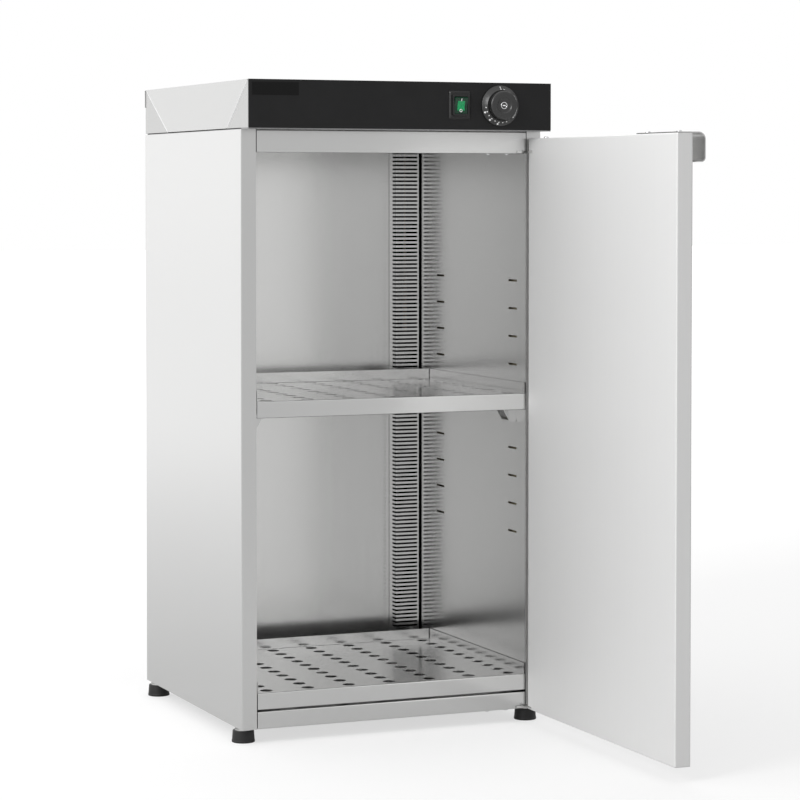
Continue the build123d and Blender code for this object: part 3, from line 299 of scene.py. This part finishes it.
def fibre(name):
    """Compressed mineral wool with tangled fibres."""
    shader = Shader(name)
    strand = shader.noise((90, 900, 900), detail=6, roughness=0.7)
    tuft = shader.noise((140, 140, 140), detail=4)
    both = shader.math("MULTIPLY", strand, tuft)
    base = shader.tone(shader.span(both, 0, 1, 0.1, 0.4), (0.46, 0.40, 0.27), (0.74, 0.67, 0.50))
    return shader.finish(Base_Color=base, Roughness=0.95, Normal=shader.bump(both, 0.8, 0.001))


def lit(name, colour, glow, strength):
    """Translucent moulding lit from behind by fine ribs of light; for the printed white marks the glow is
    painted light.
    """
    shader = Shader(name)
    ribs = shader.noise((2600, 300, 420), detail=2)
    base = shader.tone(shader.span(ribs, 0, 1), scaled(colour, 0.7), scaled(colour, 1.25))
    light = shader.tone(shader.span(ribs, 0, 1), scaled(glow, 0.65), scaled(glow, 1.3))
    return shader.finish(Base_Color=base, Roughness=shader.span(ribs, 0.22, 0.34),
                         Emission_Color=light, Emission_Strength=strength,
                         Normal=shader.bump(ribs, 0.2, 0.00005))


def cap_steel(name, flaps, lip, level):
    """Brushed steel of the cap's frame with painted shade: darker than the outer steel, and darker still on
    the lip and the underside below a level.
    """
    shader = Shader(name)
    hair = shader.noise(grained(HAIR, Y), detail=3)
    height = shader.add("ShaderNodeSeparateXYZ", {0: shader.place}).outputs["Z"]
    tone = shader.span(height, 0, 1, level - LIP_BLEND, level + LIP_BLEND)
    mixed = shader.math("ADD", tone, shader.math("MULTIPLY", hair, 0.04))
    return shader.finish(Base_Color=shader.tone(mixed, lip, flaps), Metallic=1.0,
                         Roughness=shader.span(hair, 0.22, 0.28),
                         Normal=shader.bump(hair, *HAIR_BUMP))


steel_outer = {axis: brushed(f"stainless_outer_{axis}", OUTER, 0.23, axis) for axis in (X, Y, Z)}
# Painted light: the door's inner pan is the same stainless, given a paler colour and a small metallic share
# so it reads brighter
steel_door_painted_light = brushed("stainless_door_painted_light", DOOR_PAINTED_LIGHT, 0.55, Z, metallic=0.25)
# Painted shade: the cap frame's flaps are darker than the outer steel, its lip and underside darker still
steel_cap = cap_steel("stainless_cap_frame", FLAPS_PAINTED_SHADE, LIP_PAINTED_SHADE, LIP_TOP)
# Painted highlight: paler steel on the folds of the cap's skirts
steel_fold_painted_highlight = brushed("stainless_fold_painted_highlight", FOLD_PAINTED_HIGHLIGHT, 0.3, Z)
steel_inner = {axis: brushed(f"stainless_inner_{axis}", INNER, 0.2, axis) for axis in (X, Y, Z)}
# Painted shade inside the air duct on the duct cover and the back and right liners
steel_duct = brushed("stainless_duct", INNER, 0.2, Z, duct=True)
steel_lid = brushed("stainless_lid", LID, 0.25, Y)
finishes = {
    "panel_black": moulding("panel_black", (0.010, 0.010, 0.0105), 0.45, specular=0.3),
    "bezel_black": moulding("bezel_black", (0.012, 0.012, 0.012), 0.3),
    "rocker_green": lit("rocker_green", (0.001, 0.022, 0.009), (0.0, 0.05, 0.022), 0.25),
    "knob_black": moulding("knob_black", (0.012, 0.012, 0.012), 0.3, specular=0.9),
    "foot_plastic": moulding("foot_plastic", (0.012, 0.012, 0.012), 0.5),
    "bright_steel": bright_metal("bright_steel", (0.82, 0.82, 0.81), 0.16),
    "screw_chrome": bright_metal("screw_chrome", (0.86, 0.86, 0.87), 0.12),
    "nylon_black": moulding("nylon_black", (0.02, 0.02, 0.02), 0.5),
    "mineral_wool": fibre("mineral_wool"),
    "magnet_dark": moulding("magnet_dark", (0.05, 0.05, 0.055), 0.55),
    "thermostat_case": bright_metal("thermostat_case", (0.68, 0.68, 0.66), 0.3),
    "copper": bright_metal("copper", (0.72, 0.43, 0.26), 0.25),
    "element_sheath": bright_metal("element_sheath", (0.3, 0.29, 0.28), 0.4),
    "terminal_white": moulding("terminal_white", (0.8, 0.79, 0.75), 0.45),
    "wire_sleeve": moulding("wire_sleeve", (0.07, 0.07, 0.075), 0.6),
}
# Painted light: the white print glows faintly though nothing lights it
print_white_painted_glow = lit("print_white_painted_glow", (0.8, 0.8, 0.8), (1.0, 1.0, 1.0), 0.25)
lens_green = lit("lens_green", (0.005, 0.16, 0.05), (0.0, 0.26, 0.085), 0.6)
bare_label = moulding("blank_badge", (0.005, 0.005, 0.005), 0.4, specular=0.2)
# Painted shade: the capillary's copper is darkened to keep the air duct dark where it runs
capillary_painted_shade = bright_metal("capillary", (0.10, 0.07, 0.05), 0.4)
rubber = moulding("grommet_rubber", (0.02, 0.02, 0.02), 0.7)

# Nodes with a finish of their own, some of them painted light or shade, and the grain's axis where it isn't
# upright
NODE_FINISHES = {
    "door_inner_pan": steel_door_painted_light, "cap_frame": steel_cap, "cap_cover": steel_lid,
    "duct_cover": steel_duct, "liner_back": steel_duct, "liner_right": steel_duct,
    "thermostat_capillary": capillary_painted_shade,
}
GRAIN = {
    "header_channel": X, "base_pan": X, "middle_shelf": X, "bottom_tray": X, "ceiling_liner": X,
    "element_supports": X, "tray_rail_left": Y, "tray_rail_right": Y, "door_handle": Y,
}


def finish_for(node, slot):
    if node in NODE_FINISHES:
        return NODE_FINISHES[node]
    if slot == "stainless_outer":
        return steel_outer[GRAIN.get(node, Z)]
    if slot == "stainless_inner":
        return steel_inner[GRAIN.get(node, Z)]
    return finishes[slot]


for subpart in frame["record"]["subparts"]:
    node = frame["nodes"][subpart["node"]]
    material = finish_for(subpart["node"], subpart["material_slot"])
    if not node.material_slots:
        node.data.materials.append(material)
    for place in node.material_slots:
        place.material = material


# Mesh helpers


def made(name, mesh, material, body, crease=35):
    """An object from a mesh in millimetres, in place in the row frame, riding on its body."""
    mesh.transform(Matrix.Scale(MM, 4))
    mesh.materials.clear()
    mesh.materials.append(material)
    mesh.shade_smooth()
    mesh.set_sharp_from_angle(angle=radians(crease))
    piece = bpy.data.objects.new(name, mesh)
    bpy.context.scene.collection.objects.link(piece)
    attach(piece, body)
    return piece


def to_mesh(bm, name):
    bmesh.ops.remove_doubles(bm, verts=bm.verts, dist=0.0005)
    bmesh.ops.recalc_face_normals(bm, faces=bm.faces)
    mesh = bpy.data.meshes.new(name)
    bm.to_mesh(mesh)
    bm.free()
    return mesh


def circle(radius, segments):
    """Points round the origin."""
    return [(radius * cos(2 * pi * i / segments), radius * sin(2 * pi * i / segments))
            for i in range(segments)]


def arc(radius, centre, start, stop, steps=6):
    """Points along a circle's arc, its angles in degrees."""
    turn = (stop - start) / steps
    return [(centre[0] + radius * cos(radians(start + turn * i)),
             centre[1] + radius * sin(radians(start + turn * i))) for i in range(steps + 1)]


def lathe(profile, segments=72):
    """Closed surface of revolution about Z of (radius, height) points that start and end on the axis."""
    bm = bmesh.new()
    rings = []
    for radius, height in profile:
        count = segments if radius > 1e-6 else 1
        rings.append([bm.verts.new((x, y, height)) for x, y in circle(radius, count)])
    for low, high in zip(rings, rings[1:]):
        for i in range(segments):
            j = (i + 1) % segments
            corners = [low[i % len(low)], low[j % len(low)], high[j % len(high)], high[i % len(high)]]
            unique = list(dict.fromkeys(corners))
            if len(unique) > 2:
                bm.faces.new(unique)
    return bm


def prism(outline, low, high):
    """Upright solid of a flat outline between two heights."""
    bm = bmesh.new()
    floor = [bm.verts.new((x, y, low)) for x, y in outline]
    roof = [bm.verts.new((x, y, high)) for x, y in outline]
    bm.faces.new(list(reversed(floor)))
    bm.faces.new(roof)
    for i in range(len(outline)):
        j = (i + 1) % len(outline)
        bm.faces.new((floor[i], floor[j], roof[j], roof[i]))
    return bm


def hoop(outline, segments):
    """Surface of revolution about Z of a closed (radius, height) outline that is off the axis."""
    bm = bmesh.new()
    loops = [[bm.verts.new((x, y, height)) for x, y in circle(radius, segments)]
             for radius, height in outline]
    for k, start in enumerate(loops):
        stop = loops[(k + 1) % len(loops)]
        for i in range(segments):
            j = (i + 1) % segments
            bm.faces.new((start[i], start[j], stop[j], stop[i]))
    return bm


def ring(inner, outer, low, high, segments=48):
    """Flat washer between two radii and two heights, with its edges broken."""
    edge = min(0.12, (high - low) / 3)
    return hoop([(inner, low), (outer, low), (outer, high - edge), (outer - edge, high),
                 (inner + edge, high), (inner, high - edge)], segments)


def rounded(width, height, radius, steps=4):
    """Outline of a rectangle with round corners, about the origin."""
    x, y = width / 2 - radius, height / 2 - radius
    corners = [(x, -y, -90), (x, y, 0), (-x, y, 90), (-x, -y, 180)]
    return [point for cx, cy, start in corners
            for point in arc(radius, (cx, cy), start, start + 90, steps)]


def merged(parts):
    """One bmesh of several, each put in place by its matrix."""
    whole = bmesh.new()
    for bm, matrix in parts:
        mesh = bpy.data.meshes.new("part")
        bm.to_mesh(mesh)
        mesh.transform(matrix)
        whole.from_mesh(mesh)
        bpy.data.meshes.remove(mesh)
    return whole


def facing(x, y, z, normal):
    """Frame whose Z is the normal at a point, with its Y as upright as it can be."""
    out = Vector(normal).normalized()
    up = Vector((0, 0, 1)) if abs(out.z) < 0.9 else Vector((0, 1, 0))
    side = up.cross(out).normalized()
    turn = Matrix((side, out.cross(side), out)).transposed().to_4x4()
    return Matrix.Translation((x, y, z)) @ turn


FRONT = facing(0, PANEL_Y, 0, (0, -1, 0))


# Screws


def cross_outline(length, width):
    """Outline of a cross about the origin."""
    a, b = length / 2, width / 2
    return [(b, b), (b, a), (-b, a), (-b, b), (-a, b), (-a, -b),
            (-b, -b), (-b, -a), (b, -a), (b, -b), (a, -b), (a, b)]


def pan_screw():
    """Pan head screw along Z with its seat at zero, a cross recess and a threaded shank."""
    dome = arc(HEAD_HEIGHT * 0.7, (HEAD_RADIUS - HEAD_HEIGHT * 0.7, HEAD_HEIGHT * 0.3), 0, 90, 7)
    threads = []
    root = SHANK_RADIUS - THREAD_DEPTH
    for turn in range(int(SHANK_LENGTH / THREAD_PITCH) - 1):
        low = -SHANK_LENGTH + (turn + 1) * THREAD_PITCH
        threads += [(root, low), (SHANK_RADIUS, low + THREAD_PITCH / 2)]
    profile = [(0, -SHANK_LENGTH), (root - THREAD_DEPTH, -SHANK_LENGTH)] + threads
    profile += [(root, 0), (HEAD_RADIUS, 0)] + dome + [(0, HEAD_HEIGHT + 0.02)]
    head = bpy.data.objects.new("head", to_mesh(lathe(profile, 32), "head"))
    cross = cross_outline(RECESS_LENGTH, RECESS_WIDTH)
    recess = prism(cross, HEAD_HEIGHT - RECESS_DEPTH, HEAD_HEIGHT + 1)
    cutter = bpy.data.objects.new("cutter", to_mesh(recess, "cutter"))
    for thing in (head, cutter):
        bpy.context.scene.collection.objects.link(thing)
    cut = head.modifiers.new("recess", "BOOLEAN")
    cut.operation, cut.solver, cut.object = "DIFFERENCE", "EXACT", cutter
    graph = bpy.context.evaluated_depsgraph_get()
    mesh = bpy.data.meshes.new_from_object(head.evaluated_get(graph))
    for thing in (head, cutter):
        bpy.data.objects.remove(thing)
    return mesh


screw_mesh = pan_screw()


def screws(name, node, body, places):
    """Screws in place of a node; each place is a seat point, the way the head faces and a turn."""
    whole = bmesh.new()
    for x, y, z, normal, turn in places:
        copy = screw_mesh.copy()
        copy.transform(facing(x, y, z, normal) @ Matrix.Rotation(radians(turn), 4, "Z"))
        whole.from_mesh(copy)
        bpy.data.meshes.remove(copy)
    mesh = bpy.data.meshes.new(name)
    whole.to_mesh(mesh)
    whole.free()
    piece = made(name, mesh, finishes["screw_chrome"], body, 40)
    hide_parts(node)


UP, DOWN, BACK = (0, 0, 1), (0, 0, -1), (0, 1, 0)
SIDES = (-1, 1)
screws("handle_screw_heads", "handle_screws", "door",
       [(DOOR_MIDDLE_X, HANDLE_MIDDLE_Y + side * HANDLE_SCREW_REACH, HANDLE_TOP, UP, turn)
        for side, turn in zip(SIDES, (20, 65))])
screws("hinge_screw_heads", "hinge_screws", "cabinet",
       [(x, HINGE_SCREW_Y, z, DOWN, turn) for x, turn in HINGE_SCREW_TURNS.items() for z in HINGE_LEVELS])
screws("cap_and_back_screw_heads", "panel_screws", "cabinet",
       [(side * BACK_SCREW_X, BACK_Y, BACK_SCREW_Z + step * BACK_SCREW_PITCH, BACK, 30 * step + 12 * side)
        for side in SIDES for step in (-1, 0, 1)]
       + [(side * CAP_SCREW_X, CAP_SCREW_Y, CAP_SCREW_Z, UP, 25) for side in SIDES])
screws("hinge_block_screw_heads", "hinge_block_screws", "door",
       [(DOOR_MIDDLE_X, BLOCK_SCREW_Y, z, way, turn)
        for z, way, turn in ((DOOR_TOP, UP, 35), (DOOR_FOOT, DOWN, 10))])


# Thermostat knob


def knob_profile():
    """Skirt with its conical dial, then the grip with a dimple in its face."""
    rim = arc(0.5, (SKIRT_RIM, 1.0), -90, 0, 4) + arc(0.8, (27.4, 1.7), 0, 50, 4)
    shoulder = arc(0.8, (21.5, 7.05), 45, 90, 3) + [(20.9, 7.7), (20.75, 7.4), (20.45, 7.4)]
    edge = arc(GRIP_EDGE, (GRIP_TOP[0] - GRIP_EDGE, 13.98), 0, 90, 10)
    dimple = arc(0.8, (DIMPLE_EDGE, 15.7), 90, 135, 4)
    dimple += [(9.8, 15.03), (9.3, 14.74), (8.6, DIMPLE_FLOOR)]
    return ([(0, SKIRT_BACK), (SKIRT_RIM, SKIRT_BACK)] + rim + [CONE_FOOT, CONE_TOP] + shoulder
            + [GRIP_FOOT, GRIP_TOP] + edge + dimple + [(0, DIMPLE_FLOOR)])


def skirt_surface(angle, radius):
    """Frame on the conical dial of the knob at an angle and a radius, in the knob's own axes."""
    run, rise = CONE_FOOT[0] - CONE_TOP[0], CONE_TOP[1] - CONE_FOOT[1]
    height = CONE_FOOT[1] + (CONE_FOOT[0] - radius) * rise / run
    slope = atan2(run, rise)
    a = radians(angle)
    normal = Vector((cos(a) * cos(slope), sin(a) * cos(slope), sin(slope)))
    side = Vector((-sin(a), cos(a), 0))
    turn = Matrix((normal.cross(side) * -1, side, normal)).transposed().to_4x4()
    return Matrix.Translation((radius * cos(a), radius * sin(a), height)) @ turn


def dot(radius):
    """Printed dot with its edge broken."""
    edge = 0.06
    return lathe([(0, -MARK_SINK), (radius, -MARK_SINK), (radius, MARK_HEIGHT - edge),
                  (radius - edge, MARK_HEIGHT), (0, MARK_HEIGHT)], 24)


def dial():
    """Marks of the dial in the knob's own axes: dots, the off mark, the swelling band and the bar."""
    marks = [(dot(0.85), skirt_surface(187 + 14.6 * step, 23.6)) for step in range(8)]
    marks += [(dot(1.35), skirt_surface(angle, 26.0)) for angle in (201.5, 230, 259)]
    marks += [(prism(rounded(2.6, 0.9, 0.4), -MARK_SINK, MARK_HEIGHT), skirt_surface(93, radius))
              for radius in (23.2, 25.6)]
    marks += [(dot(0.65), skirt_surface(81, 23)), (dot(1.1), skirt_surface(-42, 24))]
    swell = 26
    for step in range(swell):
        tick = prism(rounded(0.25 + 0.55 * step / swell, 1.6, 0.12), -MARK_SINK, 0.07)
        marks.append((tick, skirt_surface(37 - 3 * step, 24.3)))
    return marks + [(prism(rounded(4.4, 1.5, 0.3), DIMPLE_FLOOR, 15.2), Matrix.Identity(4))]


def knob():
    """Knob, its printed dial, its chrome ring and its plain centre cap."""
    place = Matrix.Translation((KNOB_X, 0, CONTROL_Z)) @ FRONT
    body = to_mesh(lathe(knob_profile(), 128), "knob")
    body.transform(place)
    piece = made("knob_moulding", body, finishes["knob_black"], "knob", 28)
    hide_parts("thermostat_knob")
    marks = merged([(bm, place @ matrix) for bm, matrix in dial()])
    made("dial_marks", to_mesh(marks, "dial_marks"), print_white_painted_glow, "knob")
    chrome = merged([(ring(CAP_RADIUS, CHROME_RADIUS, 14.3, 15.1), place)])
    made("knob_ring", to_mesh(chrome, "knob_ring"), finishes["screw_chrome"], "knob")
    cap = lathe([(0, 14.4), (CAP_RADIUS, 14.4), (CAP_RADIUS, 14.8), (0, 14.9)], 48)
    made("knob_centre_cap", to_mesh(merged([(cap, place)]), "knob_centre_cap"),
         finishes["bezel_black"], "knob")


knob()


# Rocker


def rocker_frame():
    """Frame at the crest line of the rocker: X across, Y up its face, Z out of the panel."""
    place = Matrix.Translation((SWITCH_X, PANEL_Y - ROCKER_AXIS, CONTROL_Z))
    tilt = Matrix.Rotation(radians(ROCKER_TILT), 4, "X")
    return place @ tilt @ facing(0, 0, 0, (0, -1, 0))


def on_rocker(end):
    """Frame on the upper (1) or lower (-1) half of the rocker's face, from its crest."""
    lean = Matrix.Rotation(radians(ROCKER_SLOPE * end), 4, "X")
    return rocker_frame() @ Matrix.Translation((0, 0, ROCKER_CREST)) @ lean


def strip(width, start, stop, low, high, edge=0.15):
    """Bar across the rocker from start to stop along its face."""
    centre, length = (start + stop) / 2, abs(stop - start)
    outline = [(x, y + centre) for x, y in rounded(width, length, edge)]
    return prism(outline, low, high)


def rocker():
    """Lit lens and the on and off marks, laid on the rocker's two slopes."""
    lens = merged([(strip(10.6, -0.1, 6.6, -0.15, 0.12), on_rocker(1)),
                   (strip(10.6, 0.1, -6.9, -0.15, 0.12), on_rocker(-1))])
    made("rocker_lens", to_mesh(lens, "rocker_lens"), lens_green, "rocker")
    line = (strip(0.9, 6.4, 10.2, -0.1, 0.22), on_rocker(1))
    loop = (ring(1.35, 2.15, -0.1, 0.22), on_rocker(-1) @ Matrix.Translation((0, -7.0, 0)))
    made("rocker_marks", to_mesh(merged([line, loop]), "rocker_marks"),
         print_white_painted_glow, "rocker")


rocker()


# Bare name place on the panel


def label():
    """Bare label plate at the panel's left end."""
    place = FRONT @ Matrix.Translation((LABEL_X, LABEL_Z, 0))
    plate = prism(rounded(*LABEL_SIZE, 0.6), -0.3, 0.25)
    made("blank_label", to_mesh(merged([(plate, place)]), "blank_label"),
         bare_label, "cabinet")


label()


# Black bars of painted shade at the header's ends and folds of the cap's skirts with a painted highlight


def joints():
    """Black bars in the upright gaps between the header and the side flanges: painted shade where the gaps
    hold only shadow.
    """
    bars = []
    for side, (low, high) in HEADER_LEVELS.items():
        x = side * (HEADER_END_X - JOINT_WIDTH / 2)
        y = HEADER_Y + JOINT_SETBACK + JOINT_DEPTH / 2
        outline = [(x + dx, dy) for dx, dy in rounded(JOINT_WIDTH, JOINT_DEPTH, 0.2)]
        bars.append((prism(outline, low, high), Matrix.Translation((0, y, 0))))
    made("header_gap_shade_bars", to_mesh(merged(bars), "header_gap_shade_bars"), finishes["nylon_black"],
         "cabinet")


def folds():
    """Folded edges along the slanted ends of both side skirts, as thin ramps of paler steel: a painted
    highlight.
    """
    bars = []
    for side in SIDES:
        for end, ((y_top, z_top), (y_low, z_low)) in FOLD_ENDS.items():
            top, low_end = Vector((0, y_top, z_top)), Vector((0, y_low, z_low))
            along = (low_end - top).normalized()
            out = Vector((side, 0, 0))
            away = out.cross(along)
            if (away.y > 0) != (end == "rear"):
                away.negate()
            turn = Matrix((away, out, along)).transposed().to_4x4()
            start = Matrix.Translation(top + out * SKIRT_X)
            width = FOLD_WIDTHS[end]
            section = [(-FOLD_LAP, 0), (width, 0), (width, 0.03),
                       (0.2, FOLD_HEIGHT), (-FOLD_LAP, FOLD_HEIGHT)]
            bars.append((prism(section, 0, (low_end - top).length), start @ turn))
    made("skirt_folds", to_mesh(merged(bars), "skirt_folds"), steel_fold_painted_highlight, "cabinet")


joints()
folds()


# Feet


def foot(side, end):
    """Cup with rounded edges, a sole and a fine parting line, in place of the plain turned one."""
    profile = [(0, 0.4), (11.5, 0.4), (11.8, 0), (15.2, 0)] + arc(0.8, (15.2, 0.8), -90, 0, 4)
    profile += [(16, 2.6), (15.85, 3.1), (15.6, 3.4), (14.75, 15.4)] + arc(0.9, (13.8, 15.6), 5, 90, 5)
    profile += [(12.2, 16.5), (12.2, 16.3), (0, 16.3)]
    name = f"{end}_{side}"
    place = Matrix.Translation((FOOT_XS[side], FOOT_YS[end], 0))
    mesh = to_mesh(merged([(lathe(profile, 96), place)]), f"foot_moulding_{name}")
    piece = made(f"foot_moulding_{name}", mesh, finishes["foot_plastic"], f"foot_{name}")
    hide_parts(f"foot_cup_{name}")


for side in FOOT_XS:
    for end in FOOT_YS:
        foot(side, end)


# Mains gland


def collar(outline, low, high, hole):
    """Upright solid of an outline with a round hole through it."""
    bm = bmesh.new()
    loops = []
    for z in (low, high):
        loops.append([bm.verts.new((*point, z)) for point in outline])
        inner = [(hole * x / hypot(x, y), hole * y / hypot(x, y)) for x, y in outline]
        loops.append([bm.verts.new((*point, z)) for point in inner])
    for a, b in ((0, 2), (2, 3), (3, 1), (1, 0)):
        for i in range(len(outline)):
            j = (i + 1) % len(outline)
            bm.faces.new((loops[a][i], loops[a][j], loops[b][j], loops[b][i]))
    return bm


def hexagon(radius, steps=8):
    """Outline of a hexagon, each side cut in steps."""
    corners = [Vector(point) for point in circle(radius, 6)]
    return [start.lerp(stop, k / steps) for start, stop in zip(corners, corners[1:] + corners[:1])
            for k in range(steps)]


def ribbed(radius, ribs, groove):
    """Outline of a circle with ribs, two points on each rib and two in each groove."""
    return [Vector(point) * (1 - (groove / radius if i % 4 > 1 else 0))
            for i, point in enumerate(circle(radius, ribs * 4))]


def gland():
    """Hexagonal body, ribbed dome nut, lock nut and rubber seal round the cable's bore."""
    place = facing(*GLAND_PLACE, BACK)
    parts = [collar(hexagon(GLAND_BODY), 0, 7, GLAND_BORE),
             collar(ribbed(GLAND_DOME, GLAND_RIBS, GLAND_GROOVE), 7, 15.5, GLAND_BORE),
             collar(hexagon(GLAND_LOCK), -5, -1, 7.9), ring(GLAND_BORE, GLAND_LOCK_BORE, -5, 0)]
    nuts = merged([(part, place) for part in parts])
    body = made("gland_nuts", to_mesh(nuts, "gland_nuts"), finishes["nylon_black"],
                "cabinet", 25)
    crown = arc(1.6, (7.4, 15.9), 0, 90, 5)
    lip = [(6.2, 17.5), (6.0, 17.0), (GLAND_BORE + 0.2, 17.0), (GLAND_BORE, 16.8)]
    seal = merged([(hoop([(GLAND_BORE, 15.5), (9.0, 15.5)] + crown + lip, 64), place)])
    made("gland_seal", to_mesh(seal, "gland_seal"), rubber, "cabinet")
    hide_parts("cable_gland")


gland()


# Floor, backdrop and light


def plain_sight(tree):
    """How white a surface is seen: wholly straight or through glass, partly in metal."""
    path = tree.nodes.new("ShaderNodeLightPath")
    seen = path.outputs["Is Camera Ray"]
    for name, share in (("Is Glossy Ray", METAL_SHARE), ("Is Transmission Ray", 1)):
        part = tree.nodes.new("ShaderNodeMath")
        part.operation = "MULTIPLY"
        tree.links.new(path.outputs[name], part.inputs[0])
        part.inputs[1].default_value = share
        either = tree.nodes.new("ShaderNodeMath")
        either.operation = "MAXIMUM"
        tree.links.new(seen, either.inputs[0])
        tree.links.new(part.outputs["Value"], either.inputs[1])
        seen = either.outputs["Value"]
    return seen


def stage_floor():
    """Floor that reads as white to the camera but keeps the cabinet's shadow; its colour is painted shade
    near the cabinet and in front of it and pale far behind it, which the metal reflects.
    """
    bm = bmesh.new()
    bmesh.ops.create_grid(bm, x_segments=1, y_segments=1, size=FLOOR_SIZE)
    mesh = bpy.data.meshes.new("floor")
    bm.to_mesh(mesh)
    bm.free()
    shader = Shader("floor_paper")
    tree = shader.tree
    grain = shader.noise((300, 300, 300), detail=3)
    away = shader.add("ShaderNodeVectorMath", {0: shader.place, 1: FLOOR_WAY}, operation="DOT_PRODUCT")
    # Painted shade on the floor near the cabinet and in front of it, fading to pale far behind it
    shade_fade = shader.span(away.outputs["Value"], 0, 1, *FLOOR_SHADE_FADE)
    shade_fade = shader.math("ADD", shade_fade, shader.math("MULTIPLY", grain, 0.03))
    shader.finish(Base_Color=shader.tone(shade_fade, FLOOR_PAINTED_SHADE, FLOOR_LIGHT), Roughness=0.9)
    glow = shader.add("ShaderNodeEmission", {"Color": (1, 1, 1, 1), "Strength": FLOOR_GLOW})
    both = shader.add("ShaderNodeAddShader")
    tree.links.new(shader.body.outputs[0], both.inputs[0])
    tree.links.new(glow.outputs[0], both.inputs[1])
    mix = shader.add("ShaderNodeMixShader", {0: plain_sight(tree)})
    tree.links.new(shader.body.outputs[0], mix.inputs[1])
    tree.links.new(both.outputs[0], mix.inputs[2])
    output = next(n for n in tree.nodes if n.type == "OUTPUT_MATERIAL")
    tree.links.new(mix.outputs[0], output.inputs["Surface"])
    mesh.materials.append(shader.material)
    floor = bpy.data.objects.new("floor", mesh)
    bpy.context.scene.collection.objects.link(floor)


def world_light():
    """White backdrop; bright behind the cabinet and softer in front of it."""
    world = bpy.data.worlds.new("studio")
    world.use_nodes = True
    tree = world.node_tree
    tree.nodes.clear()
    new, link = tree.nodes.new, tree.links.new
    way = new("ShaderNodeTexCoord").outputs["Generated"]
    split = new("ShaderNodeVectorMath")
    split.operation = "DOT_PRODUCT"
    link(way, split.inputs[0])
    split.inputs[1].default_value = Vector(BRIGHT_SIDE).normalized()
    spread = new("ShaderNodeMapRange")
    link(split.outputs["Value"], spread.inputs["Value"])
    limits = {"From Min": -ROOM_SPAN, "From Max": ROOM_SPAN, "To Min": ROOM_DIM, "To Max": ROOM_BRIGHT}
    for key, value in limits.items():
        spread.inputs[key].default_value = value
    room = new("ShaderNodeBackground")
    link(spread.outputs["Result"], room.inputs["Strength"])
    white = new("ShaderNodeBackground")
    white.inputs["Strength"].default_value = 1.0
    for sky in (room, white):
        sky.inputs["Color"].default_value = (1, 1, 1, 1)
    mix = new("ShaderNodeMixShader")
    link(plain_sight(tree), mix.inputs[0])
    link(room.outputs[0], mix.inputs[1])
    link(white.outputs[0], mix.inputs[2])
    output = new("ShaderNodeOutputWorld")
    link(mix.outputs[0], output.inputs["Surface"])
    bpy.context.scene.world = world


def softbox(name, place, target, size, power):
    light = bpy.data.lights.new(name, "AREA")
    light.shape, light.size, light.size_y, light.energy = "RECTANGLE", *size, power
    lamp = bpy.data.objects.new(name, light)
    lamp.location = place
    lamp.rotation_euler = (Vector(target) - Vector(place)).to_track_quat("-Z", "Y").to_euler()
    bpy.context.scene.collection.objects.link(lamp)


def camera():
    data = bpy.data.cameras.new("camera")
    data.lens, data.sensor_width, data.shift_y = CAMERA_LENS, CAMERA_SENSOR, CAMERA_SHIFT
    eye = bpy.data.objects.new("camera", data)
    eye.location = CAMERA_PLACE
    eye.rotation_euler = (radians(90 + CAMERA_PITCH), 0, radians(CAMERA_YAW))
    bpy.context.scene.collection.objects.link(eye)
    bpy.context.scene.camera = eye


stage_floor()
world_light()
softbox("key", KEY_PLACE, KEY_TARGET, KEY_SIZE, KEY_POWER)
camera()
bpy.context.scene.view_settings.view_transform = "Standard"
